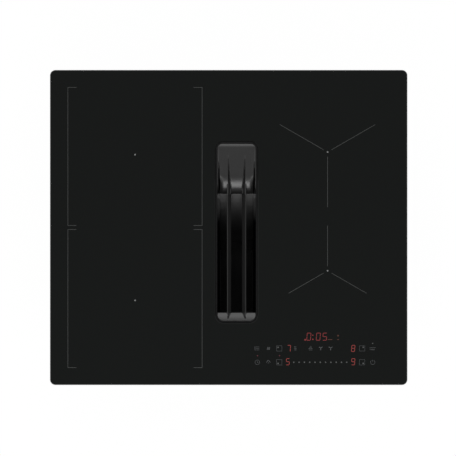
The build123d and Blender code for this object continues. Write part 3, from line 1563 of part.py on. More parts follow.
# Outlet duct: widens from the scroll to a flat-duct spigot
mouth_w = scroll_right - scroll_left
mouth_h = scroll_roof_z - scroll_floor_z
mouth_x = (scroll_left + scroll_right) / 2
mouth_z = (scroll_roof_z + scroll_floor_z) / 2
spigot_x = scroll_left - wall + outlet_w / 2
spigot_y = outlet_end_y - outlet_collar_l
with BuildPart() as outlet_duct:
    with BuildSketch(cross_plane(0, outlet_y)):
        with Locations((mouth_x, mouth_z)):
            RectangleRounded(mouth_w + 2 * wall, mouth_h + 2 * wall, wall)
    with BuildSketch(cross_plane(0, spigot_y)):
        with Locations((spigot_x, mouth_z)):
            RectangleRounded(outlet_w, outlet_h, outlet_r)
    loft()
    with BuildSketch(cross_plane(0, spigot_y)):
        with Locations((spigot_x, mouth_z)):
            RectangleRounded(outlet_w, outlet_h, outlet_r)
    extrude(amount=-outlet_collar_l)
    with BuildSketch(cross_plane(0, spigot_y)):
        with Locations((spigot_x, mouth_z)):
            RectangleRounded(
                outlet_w + 2 * outlet_bead_h, outlet_h + 2 * outlet_bead_h, outlet_r + outlet_bead_h
            )
    extrude(amount=-outlet_bead_w)
    with BuildSketch(cross_plane(0, outlet_y)):
        with Locations((mouth_x, mouth_z)):
            Rectangle(mouth_w - 2 * frame_clearance, mouth_h - 2 * frame_clearance)
    extrude(amount=outlet_sleeve_l)
    with BuildSketch(cross_plane(0, outlet_y)):
        with Locations((mouth_x, mouth_z)):
            RectangleRounded(mouth_w - 2 * outlet_wall, mouth_h - 2 * outlet_wall, wall)
    with BuildSketch(cross_plane(0, spigot_y)):
        with Locations((spigot_x, mouth_z)):
            RectangleRounded(
                outlet_w - 2 * outlet_wall, outlet_h - 2 * outlet_wall, outlet_r - outlet_wall
            )
    loft(mode=Mode.SUBTRACT)
    with BuildSketch(cross_plane(0, spigot_y)):
        with Locations((spigot_x, mouth_z)):
            RectangleRounded(
                outlet_w - 2 * outlet_wall, outlet_h - 2 * outlet_wall, outlet_r - outlet_wall
            )
    extrude(amount=-outlet_collar_l, mode=Mode.SUBTRACT)
    with BuildSketch(cross_plane(0, outlet_y)):
        with Locations((mouth_x, mouth_z)):
            RectangleRounded(mouth_w - 2 * outlet_wall, mouth_h - 2 * outlet_wall, wall)
    extrude(amount=outlet_sleeve_l, mode=Mode.SUBTRACT)
save(outlet_duct, "outlet_duct")
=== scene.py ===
"""Dresses the cooktop: finishes, glass print, lit digits, grille, filter, screws and stage."""

import json
import math
from collections import namedtuple

import bmesh
import bpy
from bpy.props import FloatProperty, FloatVectorProperty, IntProperty, PointerProperty
from mathutils import Matrix, Vector
from mathutils.bvhtree import BVHTree


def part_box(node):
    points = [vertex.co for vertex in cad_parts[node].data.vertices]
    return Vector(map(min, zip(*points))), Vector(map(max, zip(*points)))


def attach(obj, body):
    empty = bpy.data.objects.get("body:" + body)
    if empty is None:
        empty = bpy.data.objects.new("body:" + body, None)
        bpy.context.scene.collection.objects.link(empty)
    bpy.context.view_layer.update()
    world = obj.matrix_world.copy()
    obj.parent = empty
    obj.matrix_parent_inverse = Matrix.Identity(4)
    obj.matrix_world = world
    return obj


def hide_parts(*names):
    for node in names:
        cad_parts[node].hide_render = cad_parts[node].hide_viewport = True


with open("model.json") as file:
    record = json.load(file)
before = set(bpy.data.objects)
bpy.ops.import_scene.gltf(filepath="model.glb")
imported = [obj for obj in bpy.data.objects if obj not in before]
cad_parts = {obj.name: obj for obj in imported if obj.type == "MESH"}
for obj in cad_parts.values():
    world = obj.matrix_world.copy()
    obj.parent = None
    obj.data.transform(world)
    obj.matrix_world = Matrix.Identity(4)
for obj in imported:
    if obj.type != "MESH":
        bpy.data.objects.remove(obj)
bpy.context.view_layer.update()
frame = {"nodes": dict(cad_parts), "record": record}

bl_info = {
    "name": "Cooktop dressing",
    "version": (1, 0, 0),
    "blender": (4, 5, 0),
    "location": "View3D > Sidebar > Cooktop",
    "description": "Finishes, print, lit digits, grille, filter and screws for the cooktop",
    "category": "Object",
}

MM = 0.001
GLASS_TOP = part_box("glass_plate")[1].z
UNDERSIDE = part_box("air_box")[0].z
FILTER_FLOOR, FILTER_TOP = (corner.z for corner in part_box("filter_frame"))
SLOT_COLOURS = {entry["slot"]: entry["base_color"][:3] for entry in frame["record"]["materials"]}


def number(name, description, default, **kind):
    """A value that a user may change, with its unit, subtype or limits."""
    return FloatProperty(name=name, description=description, default=default, **kind)


def length(name, description, default):
    """A size that a user may change, in metres."""
    return number(name, description, default, unit="LENGTH", precision=5)


def count(name, description, default, lowest):
    """A whole number that a user may change."""
    return IntProperty(name=name, description=description, default=default, min=lowest)


def colour(name, description, default):
    """A colour that a user may change."""
    return FloatVectorProperty(name=name, description=description, default=default, size=3,
                               subtype="COLOR", min=0.0, max=1.0)


class CooktopFinishes(bpy.types.PropertyGroup):
    """Colours of the surfaces that show from above."""
    glass: colour("Glass", "Body colour of the black glass ceramic", (0.0056, 0.0068, 0.0062))
    hood: colour("Grille", "Satin coating of the cast grille", (0.089, 0.089, 0.089))
    collar: colour("Collar", "Moulding round the grille", (0.003, 0.003, 0.0033))
    filter_body: colour("Filter", "Enamel of the filter frame", (0.0008, 0.0009, 0.0012))
    filter_sheet: colour("Filter sheet", "Coating of the expanded metal", (0.02, 0.02, 0.021))
    line_grey: colour("Lines", "Ceramic ink of the zone lines", (0.086, 0.089, 0.087))
    dot_grey: colour("Zone dots", "Ceramic ink of the dots in the zones", (0.26, 0.265, 0.263))
    print_grey: colour("Print", "Ceramic ink of slider dots and key markers", (0.112, 0.115, 0.115))
    icon_grey: colour("Icons", "Ceramic ink of the icons and key squares", (0.087, 0.091, 0.095))
    lit_red: colour("Zone digits", "Light of the zone level digits", (0.235, 0.042, 0.038))
    lit_rose: colour("Timer digits", "Light of the timer digits", (0.195, 0.031, 0.033))
    lit_dim: colour("Dim marks", "Light of the faint marks beside the timer", (0.062, 0.032, 0.022))
    lit_pilot: colour("Pilots", "Light of the dots over two keys", (0.06, 0.017, 0.025))


class CooktopMarks(bpy.types.PropertyGroup):
    """Sizes of the cooking zone marks."""
    thickness: length("Ink thickness", "How far the print stands proud of the glass", 0.00004)
    line: length("Line", "Width of the zone lines", 0.0006)
    left: length("Left line", "X of the left lines of the bracketed zones", -0.2655)
    right: length("Right line", "X of the right lines of the bracketed zones", -0.0439)
    near: length("Near end", "Distance of a bracket from the middle of the glass", 0.0033)
    far: length("Far end", "Distance of a bracket's outer end from the middle", 0.2313)
    tick: length("Tick", "Length of the short line at each bracket corner", 0.014)
    dot: length("Dot", "Diameter of the dot in the middle of a zone", 0.0027)
    arm_start: length("Arm start", "Distance from a dot to its arms", 0.0075)
    rear_arm: length("Rear arm", "Reach of the rear right arms", 0.091)
    front_arm: length("Front arm", "Reach of the front right arms", 0.0745)


class CooktopPanel(bpy.types.PropertyGroup):
    """Sizes on the touch panel."""
    line: length("Icon line", "Width of the icon strokes", 0.00055)
    key: length("Zone key", "Width of a square zone key", 0.0088)
    slider_dot: length("Slider dot", "Diameter of a slider dot", 0.0023)
    slider_dots: count("Slider dots", "Dots on the power slider", 11, lowest=2)
    pilot: length("Pilot", "Diameter of the dot over a key", 0.002)
    digit_height: length("Zone digit height", "Height of a zone digit", 0.0103)
    digit_width: length("Zone digit width", "Width of a zone digit", 0.0052)
    timer_height: length("Timer height", "Height of a timer digit", 0.0118)
    timer_width: length("Timer width", "Width of a timer digit", 0.0062)
    segment: length("Segment", "Width of a lit segment", 0.00095)


class CooktopCasting(bpy.types.PropertyGroup):
    """How the cast grille is eased."""
    grain: length("Grain", "Size of the steps in which the casting is rebuilt", 0.00045)
    easing: count("Easing", "Rounds of smoothing over edges and creases", 3, lowest=0)
    keep: number("Keep", "Share of the faces that stays", 0.2, subtype="FACTOR", min=0.0, max=1.0)
    shoulder: length("Shoulder", "Distance from the middle to where the hood starts to fall",
                     0.0205)
    gutter: length("Gutter", "Distance from the middle to the lowest line beside the rim", 0.0285)
    rim: length("Rim", "Distance from the middle to the inner side of the rim", 0.0303)
    ridge: length("Ridge", "Distance from the middle to the inner edge of a vane's ridge", 0.0151)
    notch: length("Notch", "Depth of the notches that carry the vanes on into the lip", 0.003)
    gutter_tilt: number("Gutter tilt", "Slope of the hood beside its rim", 0.11)
    tongue_tilt: number("Tongue tilt", "Slope beside the front of a side tongue", 1.3)


class CooktopLattice(bpy.types.PropertyGroup):
    """Sizes of the grease filter: its expanded metal and its rim."""
    pitch: length("Long way", "Length of one diamond", 0.0056)
    row: length("Short way", "Height of one diamond's half", 0.0017)
    strand: length("Strand", "Width of a strand", 0.0007)
    sheet: length("Sheet", "Thickness of the metal", 0.0004)
    tilt: length("Tilt", "How far a strand's edges stand out of the sheet", 0.00035)
    border: length("Border", "Width of the folded edge", 0.004)
    rim_drop: length("Rim drop", "How far the cassette's rim bends down beside its ramp", 0.0021)


class CooktopScrews(bpy.types.PropertyGroup):
    """Shape of the screws."""
    head: length("Head", "Height of a screw head", 0.002)
    recess: length("Recess", "Depth of the six-lobed recess", 0.0012)
    recess_radius: length("Recess radius", "Radius to the lobes of the recess", 0.0017)
    thread: length("Thread", "Pitch of the thread", 0.0008)


class CooktopStage(bpy.types.PropertyGroup):
    """Camera and light."""
    view: length("View width", "Width that the camera sees at the glass", 0.7528)
    centre_x: length("Centre X", "Point of the glass in the middle of the picture", -0.00116)
    centre_y: length("Centre Y", "Point of the glass in the middle of the picture", -0.00083)
    height: length("Camera height", "Height of the camera above the worktop", 5.5)
    front_power: number("Front softbox", "Power of the front softbox in watts", 7.6, unit="POWER")
    rear_power: number("Rear softbox", "Power of the rear softbox in watts", 2.1, unit="POWER")
    floor_size: length("Floor", "Side of the floor", 24.0)


class NodeSheet:
    """Places shader nodes in one tree and joins them."""

    def __init__(self, tree):
        self.tree = tree

    def feed(self, socket, value):
        """Joins a socket to another one, or sets its value."""
        if isinstance(value, bpy.types.NodeSocket):
            self.tree.links.new(value, socket)
        else:
            socket.default_value = value

    def add(self, kind, settings=None, inputs=None):
        """Adds a node with its settings and the values or links of its inputs."""
        node = self.tree.nodes.new("ShaderNode" + kind)
        for name, value in (settings or {}).items():
            setattr(node, name, value)
        for name, value in (inputs or {}).items():
            self.feed(node.inputs[name], value)
        return node

    def math(self, operation, *values):
        """One sum, as a value socket."""
        return self.add("Math", {"operation": operation}, dict(enumerate(values))).outputs[0]

    def vector_math(self, operation, *values):
        """One sum of vectors, as a vector socket."""
        return self.add("VectorMath", {"operation": operation}, dict(enumerate(values))).outputs[0]

    def place(self):
        """Where a point of the object lies, in metres."""
        return self.add("TexCoord").outputs["Object"]

    def axes(self, vector):
        """The X, Y and Z of a vector."""
        return self.add("SeparateXYZ", None, {0: vector}).outputs

    def noise(self, place, scale, detail, output=0):
        """A noise over the places: its value, or another of its outputs."""
        inputs = {"Vector": place, "Scale": scale, "Detail": detail}
        return self.add("TexNoise", None, inputs).outputs[output]

    def slope(self, value, start, end, first=0.0, last=1.0):
        """Goes from a first to a last level while a value goes from a start to an end."""
        inputs = {"Value": value, "From Min": start, "From Max": end,
                  "To Min": first, "To Max": last}
        return self.add("MapRange", None, inputs).outputs[0]

    def shade(self, tint, factor):
        """A colour made lighter or darker by a factor."""
        return self.add("VectorMath", {"operation": "SCALE"}, {0: tint, "Scale": factor}).outputs[0]

    def around(self, value, middle, spread):
        """Turns a noise value near one half into a value around a middle."""
        offset = self.math("SUBTRACT", value, 0.5)
        return self.math("MULTIPLY_ADD", offset, spread, middle)


GREY = (0.5, 0.5, 0.5, 1.0)
WHITE = (1.0, 1.0, 1.0, 1.0)
EFFECT_OUTPUTS = (("Color", "Color"), ("Roughness", "Float"), ("Height", "Float"))


class EffectSheet(NodeSheet):
    """A new shader node group for one surface effect, with the sockets that all effects share."""

    def __init__(self, name, drift, roughness, spread, *own_inputs):
        super().__init__(bpy.data.node_groups.new(name, "ShaderNodeTree"))
        inputs = (("Color", "Color", GREY), ("Drift", "Float", drift), *own_inputs,
                  ("Roughness", "Float", roughness), ("Spread", "Float", spread))
        for label, kind, value in inputs:
            self.new_socket(label, "INPUT", kind).default_value = value
        for label, kind in EFFECT_OUTPUTS:
            self.new_socket(label, "OUTPUT", kind)
        self.given = self.tree.nodes.new("NodeGroupInput").outputs
        self.result = self.tree.nodes.new("NodeGroupOutput").inputs

    def new_socket(self, label, way, kind):
        """Adds one input or output to the group."""
        return self.tree.interface.new_socket(name=label, in_out=way,
                                              socket_type="NodeSocket" + kind)

    def tone_and_painted_shade(self, value):
        """A factor around one that follows a value: random tone where it is a noise, and painted
        shade and highlight where it is the crown of a wire's turns.
        """
        return self.around(value, 1.0, self.given["Drift"])

    def put_out(self, factor, gloss, height):
        """Feeds the outputs: the colour times a factor, the roughness by a noise, the height."""
        given, result = self.given, self.result
        self.feed(result["Color"], self.shade(given["Color"], factor))
        self.feed(result["Roughness"], self.around(gloss, given["Roughness"], given["Spread"]))
        self.feed(result["Height"], height)


# Details of the effects: the depth of coarse and fine noise, the noise that bends the zinc's
# flakes and how far, the clouds over brushed metal, the strands in a wire and their share of its
# height, and the tracks of a board.
COARSE, FINE = 3.0, 2.0
WARP_SCALE, WARP_REACH = 160.0, 0.006
CLOUD_SCALE = 25.0
STRAND_SCALE, STRAND_SHARE = 1400.0, 0.3
TRACK_LAYOUT = {"offset": 0.35, "squash": 1.6}
TRACK_SHADES = {"Color1": (0.35, 0.35, 0.35, 1.0), "Color2": (0.55, 0.55, 0.55, 1.0),
                "Mortar": WHITE, "Mortar Size": 0.06}


def make_surface_grain():
    """Cloudy colour drift, uneven gloss and fine relief of moulded, cast and coated surfaces."""
    sheet = EffectSheet("surface_grain", 0.1, 0.5, 0.1,
                        ("Drift Scale", "Float", 20.0), ("Grain Scale", "Float", 900.0))
    place = sheet.place()
    cloud = sheet.noise(place, sheet.given["Drift Scale"], COARSE)
    grain = sheet.noise(place, sheet.given["Grain Scale"], FINE)
    sheet.put_out(sheet.tone_and_painted_shade(cloud), grain, grain)


def make_zinc_spangle():
    """Crystal flakes of hot-dip zinc, each with its own shade and gloss."""
    sheet = EffectSheet("zinc_spangle", 0.3, 0.4, 0.2, ("Flake Scale", "Float", 90.0))
    place = sheet.place()
    warp = sheet.noise(place, WARP_SCALE, FINE, "Color")
    moved = sheet.vector_math("MULTIPLY_ADD", warp, (WARP_REACH, WARP_REACH, WARP_REACH), place)
    flake = sheet.add("TexVoronoi", None, {"Vector": moved, "Scale": sheet.given["Flake Scale"]})
    shades = sheet.add("SeparateColor", None, {"Color": flake.outputs["Color"]}).outputs
    sheet.put_out(sheet.tone_and_painted_shade(shades["Red"]), shades["Green"], shades["Blue"])


def make_brushed_lines():
    """Fine lines of rolled, drawn or ground metal, stretched along one direction."""
    sheet = EffectSheet("brushed_lines", 0.15, 0.3, 0.2, ("Lines", "Vector", (900.0, 12.0, 900.0)))
    place = sheet.place()
    stretched = sheet.vector_math("MULTIPLY", place, sheet.given["Lines"])
    lines = sheet.noise(stretched, 1.0, COARSE)
    cloud = sheet.noise(place, CLOUD_SCALE, COARSE)
    factor = sheet.math("MULTIPLY", sheet.tone_and_painted_shade(lines), sheet.tone_and_painted_shade(cloud))
    sheet.put_out(factor, lines, lines)


def make_litz_turns():
    """Turns of stranded wire side by side round a middle, square with round corners or round, with
    painted shade between the turns and a painted highlight on their crowns.
    """
    sheet = EffectSheet("litz_turns", 0.4, 0.4, 0.15, ("Middle", "Vector", (0.0, 0.0, 0.0)),
                        ("Straight X", "Float", 0.0), ("Straight Y", "Float", 0.0),
                        ("Pitch", "Float", 0.0028))
    place, given = sheet.place(), sheet.given
    parts = sheet.axes(sheet.vector_math("SUBTRACT", place, given["Middle"]))
    beyond = []
    for axis in "XY":
        reach = sheet.math("ABSOLUTE", parts[axis])
        beyond.append(sheet.math("SUBTRACT", reach, given["Straight " + axis]))
    outside = [sheet.math("MAXIMUM", value, 0.0) for value in beyond]
    squares = [sheet.math("MULTIPLY", value, value) for value in outside]
    round_part = sheet.math("SQRT", sheet.math("ADD", *squares))
    flat_part = sheet.math("MINIMUM", sheet.math("MAXIMUM", *beyond), 0.0)
    distance = sheet.math("ADD", round_part, flat_part)
    turn = sheet.math("FRACT", sheet.math("DIVIDE", distance, given["Pitch"]))
    crown = sheet.math("SINE", sheet.math("MULTIPLY", turn, math.pi))
    strands = sheet.noise(place, STRAND_SCALE, FINE)
    height = sheet.math("MULTIPLY_ADD", strands, STRAND_SHARE, crown)
    # The colour follows each turn's crown: painted shade in the gaps between turns, painted
    # highlight on the crowns.
    sheet.put_out(sheet.tone_and_painted_shade(crown), strands, height)


def make_board_traces():
    """Copper tracks showing through the solder mask of a circuit board."""
    sheet = EffectSheet("board_traces", 0.5, 0.35, 0.1, ("Track Scale", "Float", 160.0))
    inputs = {"Vector": sheet.place(), "Scale": sheet.given["Track Scale"], **TRACK_SHADES}
    tracks = sheet.add("TexBrick", TRACK_LAYOUT, inputs).outputs
    shade = sheet.add("SeparateColor", None, {"Color": tracks["Color"]}).outputs["Red"]
    sheet.put_out(sheet.tone_and_painted_shade(shade), shade, tracks["Fac"])


EFFECTS = (make_surface_grain, make_zinc_spangle, make_brushed_lines, make_litz_turns,
           make_board_traces)


# The filter's enamel dulls over a rise from its floor, and is bare over a range of Y and of Z.
DULL_RISE, DULL_ROUGHNESS = 0.05, 0.9
BARE_Y = (0.037, 0.009)
BARE_Z = (FILTER_TOP - 0.0024, FILTER_TOP - 0.0022)

# How each material slot is finished: the shared effect, metal or not, roughness, its spread, the
# colour drift (for the copper litz, the strength of its painted shade and painted highlight), the
# depth of the relief in millimetres, the effect's own values, the specular level, the two heights
# between which a surface dulls downwards, with its roughness at the lower one, and the ranges of Y
# and Z over which bare blackened metal takes over from the coating.
Finish = namedtuple(
    "Finish", "effect metallic roughness spread drift relief values specular dulling bare",
    defaults=(0.5, None, None))

FINISHES = {
    "black_glass": Finish("surface_grain", 0.0, 0.05, 0.02, 0.05, 0.0, {"Grain Scale": 60.0}),
    "grey_foam": Finish("surface_grain", 0.0, 0.9, 0.1, 0.25, 0.25, {"Grain Scale": 1400.0}),
    "galvanised": Finish("zinc_spangle", 1.0, 0.42, 0.22, 0.28, 0.01, {"Flake Scale": 85.0}),
    "spring_steel": Finish("brushed_lines", 1.0, 0.34, 0.2, 0.2, 0.01, {}),
    "screw_zinc": Finish("surface_grain", 1.0, 0.33, 0.18, 0.2, 0.02, {"Drift Scale": 300.0}),
    "black_plastic": Finish("surface_grain", 0.0, 0.52, 0.2, 0.3, 0.05, {"Grain Scale": 1100.0}),
    "grey_plastic": Finish("surface_grain", 0.0, 0.5, 0.18, 0.2, 0.05, {"Grain Scale": 1000.0}),
    "collar_black": Finish("surface_grain", 0.0, 0.28, 0.06, 0.2, 0.01, {"Grain Scale": 900.0}),
    "hood_grey": Finish("surface_grain", 0.8, 0.30, 0.06, 0.1, 0.012, {"Grain Scale": 1600.0}),
    "filter_black": Finish("surface_grain", 0.0, 0.40, 0.06, 0.2, 0.01, {"Grain Scale": 900.0}, 0.7,
                           (FILTER_FLOOR, FILTER_FLOOR + DULL_RISE, DULL_ROUGHNESS),
                           (BARE_Y, BARE_Z)),
    "filter_aluminium": Finish("brushed_lines", 1.0, 0.36, 0.2, 0.2, 0.01, {}),
    "aluminium_sheet": Finish("brushed_lines", 1.0, 0.34, 0.2, 0.12, 0.01, {}),
    "heat_sink": Finish("brushed_lines", 1.0, 0.4, 0.2, 0.15, 0.02, {}),
    # The copper's drift paints shade between its turns and a highlight on their crowns.
    "copper_litz": Finish("litz_turns", 0.75, 0.4, 0.15, 0.7, 0.6, {}),
    "mica": Finish("surface_grain", 0.0, 0.38, 0.25, 0.35, 0.03, {"Drift Scale": 60.0}),
    "ferrite": Finish("surface_grain", 0.0, 0.62, 0.15, 0.3, 0.08, {"Grain Scale": 700.0}),
    "silicone": Finish("surface_grain", 0.0, 0.6, 0.1, 0.15, 0.03, {}),
    "rubber_black": Finish("surface_grain", 0.0, 0.72, 0.15, 0.3, 0.06, {}),
    "board_green": Finish("board_traces", 0.0, 0.34, 0.1, 0.5, 0.05, {}),
    "display_dark": Finish("surface_grain", 0.0, 0.2, 0.06, 0.2, 0.0, {"Grain Scale": 200.0}),
    "cream_plastic": Finish("surface_grain", 0.0, 0.55, 0.12, 0.15, 0.05, {}),
    "steel_dark": Finish("brushed_lines", 1.0, 0.42, 0.2, 0.25, 0.02,
                         {"Lines": (60.0, 60.0, 2500.0)}),
    "shaft_steel": Finish("brushed_lines", 1.0, 0.22, 0.15, 0.12, 0.01,
                          {"Lines": (40.0, 40.0, 2500.0)}),
    "print": Finish("surface_grain", 0.0, 0.5, 0.1, 0.12, 0.0, {"Grain Scale": 900.0}),
    "lit": Finish("surface_grain", 0.0, 0.3, 0.05, 0.25, 0.0, {"Drift Scale": 500.0}),
}

# Solids that differ from the rest of their slot.
OWN_FINISHES = {"intake_collar": "collar_black"}
# Corner radius of the square windings on the left.
WINDING_CORNER = 0.045


def dulled(sheet, finish):
    """Roughness that rises from the upper height of a finish to the lower one."""
    low, high, dull = finish.dulling
    return sheet.slope(sheet.axes(sheet.place())["Z"], low, high, dull, finish.roughness)


def bared(sheet, finish):
    """One where the coating has given way to bare metal, and nought where it is whole."""
    place = sheet.axes(sheet.place())
    shares = [sheet.slope(place[axis], *ends) for axis, ends in zip("YZ", finish.bare)]
    return sheet.math("MULTIPLY", *shares)


def finished(name, slot, tint, values=None):
    """A material of one slot's finish in the given colour."""
    finish = FINISHES[slot]
    material = bpy.data.materials.new(name)
    material.use_nodes = True
    sheet = NodeSheet(material.node_tree)
    shader = material.node_tree.nodes["Principled BSDF"]
    shader.inputs["Metallic"].default_value = finish.metallic
    shader.inputs["Specular IOR Level"].default_value = finish.specular
    inputs = {"Color": (*tint, 1.0), "Drift": finish.drift, "Roughness": finish.roughness,
              "Spread": finish.spread, **finish.values, **(values or {})}
    if finish.dulling:
        inputs["Roughness"] = dulled(sheet, finish)
    if finish.bare:
        sheet.feed(shader.inputs["Metallic"], bared(sheet, finish))
    effect = sheet.add("Group", {"node_tree": bpy.data.node_groups[finish.effect]}, inputs)
    sheet.feed(shader.inputs["Base Color"], effect.outputs["Color"])
    sheet.feed(shader.inputs["Roughness"], effect.outputs["Roughness"])
    if finish.relief:
        bump = sheet.add("Bump", None, {"Distance": finish.relief * MM,
                                        "Height": effect.outputs["Height"]})
        sheet.feed(shader.inputs["Normal"], bump.outputs[0])
    return material


def lit(name, tint):
    """A material that glows in one colour, uneven as a lit segment is."""
    finish = FINISHES["lit"]
    material = finished(name, "lit", SLOT_COLOURS["display_dark"])
    sheet = NodeSheet(material.node_tree)
    shader = material.node_tree.nodes["Principled BSDF"]
    glow = sheet.add("Group", {"node_tree": bpy.data.node_groups[finish.effect]},
                     {"Color": (*tint, 1.0), "Drift": finish.drift, **finish.values})
    sheet.feed(shader.inputs["Emission Color"], glow.outputs["Color"])
    shader.inputs["Emission Strength"].default_value = 1.0
    return material


def winding_values(node):
    """Where the turns of one winding run: its middle and the straight half of each side."""
    low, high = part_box(node)
    half = (high - low) / 2
    corner = min(half.x, half.y) if node.endswith("right") else WINDING_CORNER
    return {"Middle": (low + high) / 2, "Straight X": half.x - corner,
            "Straight Y": half.y - corner}


def link_object(name, data):
    """Puts new data into the scene as an object."""
    made = bpy.data.objects.new(name, data)
    bpy.context.scene.collection.objects.link(made)
    return made


def mesh_object(name, mesh, materials):
    """Turns a bmesh into a named object with its materials."""
    data = bpy.data.meshes.new(name)
    mesh.to_mesh(data)
    mesh.free()
    for material in materials:
        data.materials.append(material)
    return link_object(name, data)


def place_piece(name, mesh, body, materials):
    """Turns a bmesh into a named piece that rides on a body."""
    bmesh.ops.recalc_face_normals(mesh, faces=mesh.faces)
    piece = mesh_object(name, mesh, materials)
    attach(piece, body)
    return piece


class COOKTOP_OT_finishes(bpy.types.Operator):
    """Builds the shared effects and gives every solid its finish"""
    bl_idname = "cooktop.finishes"
    bl_label = "Finish the solids"

    def execute(self, context):
        for make in EFFECTS:
            make()
        chosen = context.scene.cooktop_finishes
        tints = dict(SLOT_COLOURS, black_glass=chosen.glass, hood_grey=chosen.hood,
                     filter_black=chosen.filter_body, filter_aluminium=chosen.filter_sheet,
                     collar_black=chosen.collar)
        made = {}
        for name, node in frame["nodes"].items():
            slot = OWN_FINISHES.get(name, node.material_slots[0].material.name)
            wound = slot == "copper_litz" and name.startswith("coil_winding")
            key = name if wound else slot
            if key not in made:
                values = winding_values(name) if wound else None
                made[key] = finished(key + "_finish", slot, tints[slot], values)
            node.material_slots[0].material = made[key]
        return {"FINISHED"}


# Sides of a dot, a small dot, a pilot and a ring, and the sharpest mitre of a stroke.
DOT_SIDES, SMALL_DOT_SIDES, PILOT_SIDES, RING_SIDES = 28, 20, 16, 32
MITRE_LIMIT = 0.3


def round_points(centre, radius, turns):
    """Points on a circle at the given turns."""
    return [(centre[0] + radius * math.cos(turn), centre[1] + radius * math.sin(turn))
            for turn in turns]


class PrintedLayer:
    """Closed shapes that stand a hair proud of the glass, gathered into one mesh."""

    def __init__(self, thickness):
        self.mesh = bmesh.new()
        self.levels = (GLASS_TOP, GLASS_TOP + thickness)
        self.tint = 0

    def corner_pair(self, point):
        """The lower and upper vertex at one point."""
        return [self.mesh.verts.new((point[0], point[1], level)) for level in self.levels]

    def face(self, corners):
        """Adds one face in the present ink or light."""
        self.mesh.faces.new(corners).material_index = self.tint

    def shape(self, outline):
        """Raises one closed outline without dents."""
        pairs = [self.corner_pair(point) for point in outline]
        self.face([pair[0] for pair in pairs])
        self.face([pair[1] for pair in pairs])
        for here, there in zip(pairs, pairs[1:] + pairs[:1]):
            self.face((here[0], there[0], there[1], here[1]))

    def disc(self, centre, diameter, sides=DOT_SIDES):
        """Raises a round dot."""
        turns = [math.tau * side / sides for side in range(sides)]
        self.shape(round_points(centre, diameter / 2, turns))

    def stroke(self, points, width, closed=False):
        """Raises a line of even width along points, with mitred corners."""
        path = [Vector(point) for point in points]
        last = len(path) - 1
        sides = []
        for index, point in enumerate(path):
            before = path[index - 1] if index or closed else None
            after = path[(index + 1) % len(path)] if index < last or closed else None
            ways = []
            if before is not None:
                ways.append((point - before).normalized())
            if after is not None:
                ways.append((after - point).normalized())
            normals = [Vector((-way.y, way.x)) for way in ways]
            mean = sum(normals, Vector((0.0, 0.0))).normalized()
            offset = mean * (width / 2 / max(mean.dot(normals[0]), MITRE_LIMIT))
            sides.append((self.corner_pair(point + offset), self.corner_pair(point - offset)))
        spans = list(zip(sides, sides[1:] + sides[:1]))
        for (left, right), (next_left, next_right) in spans if closed else spans[:-1]:
            self.face((left[0], right[0], next_right[0], next_left[0]))
            self.face((left[1], right[1], next_right[1], next_left[1]))
            self.face((left[0], left[1], next_left[1], next_left[0]))
            self.face((right[0], right[1], next_right[1], next_right[0]))
        if not closed:
            for left, right in (sides[0], sides[-1]):
                self.face((left[0], left[1], right[1], right[0]))

    def arc(self, centre, radius, width, start, sweep):
        """Raises part of a ring, or all of it."""
        closed = sweep >= 360.0
        steps = RING_SIDES if closed else RING_SIDES + 1
        turns = [math.radians(start + sweep * step / RING_SIDES) for step in range(steps)]
        self.stroke(round_points(centre, radius, turns), width, closed)


def zone_dots():
    """The middle of each cooking zone, from the windings under the glass."""
    names = ("rear_left", "front_left", "rear_right", "front_right")
    boxes = {name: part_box("coil_winding_" + name) for name in names}
    return {name: ((low + high) / 2).xy for name, (low, high) in boxes.items()}


# The arms of a right zone: how many there are, and the turns of the first ones, in degrees.
ARMS, REAR_TURN, FRONT_TURN = 3, 30, 90


class COOKTOP_OT_zone_marks(bpy.types.Operator):
    """Prints the brackets, dots and arms of the four cooking zones"""
    bl_idname = "cooktop.zone_marks"
    bl_label = "Print the zone marks"

    def execute(self, context):
        marks = context.scene.cooktop_marks
        layer = PrintedLayer(marks.thickness)
        dots = zone_dots()
        for side, inward in ((marks.left, 1), (marks.right, -1)):
            for half in (1, -1):
                near, far = half * marks.near, half * marks.far
                corner = side + inward * marks.tick
                layer.stroke(((corner, near), (side, near), (side, far), (corner, far)), marks.line)
        for zone, turn, reach in (("rear_right", REAR_TURN, marks.rear_arm),
                                  ("front_right", FRONT_TURN, marks.front_arm)):
            for arm in range(ARMS):
                angle = math.radians(turn + 360 / ARMS * arm)
                way = Vector((math.cos(angle), math.sin(angle)))
                start, end = dots[zone] + way * marks.arm_start, dots[zone] + way * reach
                layer.stroke((start, end), marks.line)
        layer.tint = 1
        for middle in dots.values():
            layer.disc(middle, marks.dot)
        chosen = context.scene.cooktop_finishes
        inks = [finished("line_finish", "print", chosen.line_grey),
                finished("dot_finish", "print", chosen.dot_grey)]
        place_piece("zone_marks", layer.mesh, "hob", inks)
        return {"FINISHED"}


# Touch panel places, in millimetres on the glass.
ROW_REAR, ROW_FRONT = -199.6, -222.5
KEYS_LEFT = (47.2, 65.4, 83.4)
KEYS_RIGHT = (220.2, 237.7)
FAN_KEYS = (135.1, 151.8, 168.2)
SLIDER_ENDS = (107.5, 194.9)
HEAT_KEY = 109.9

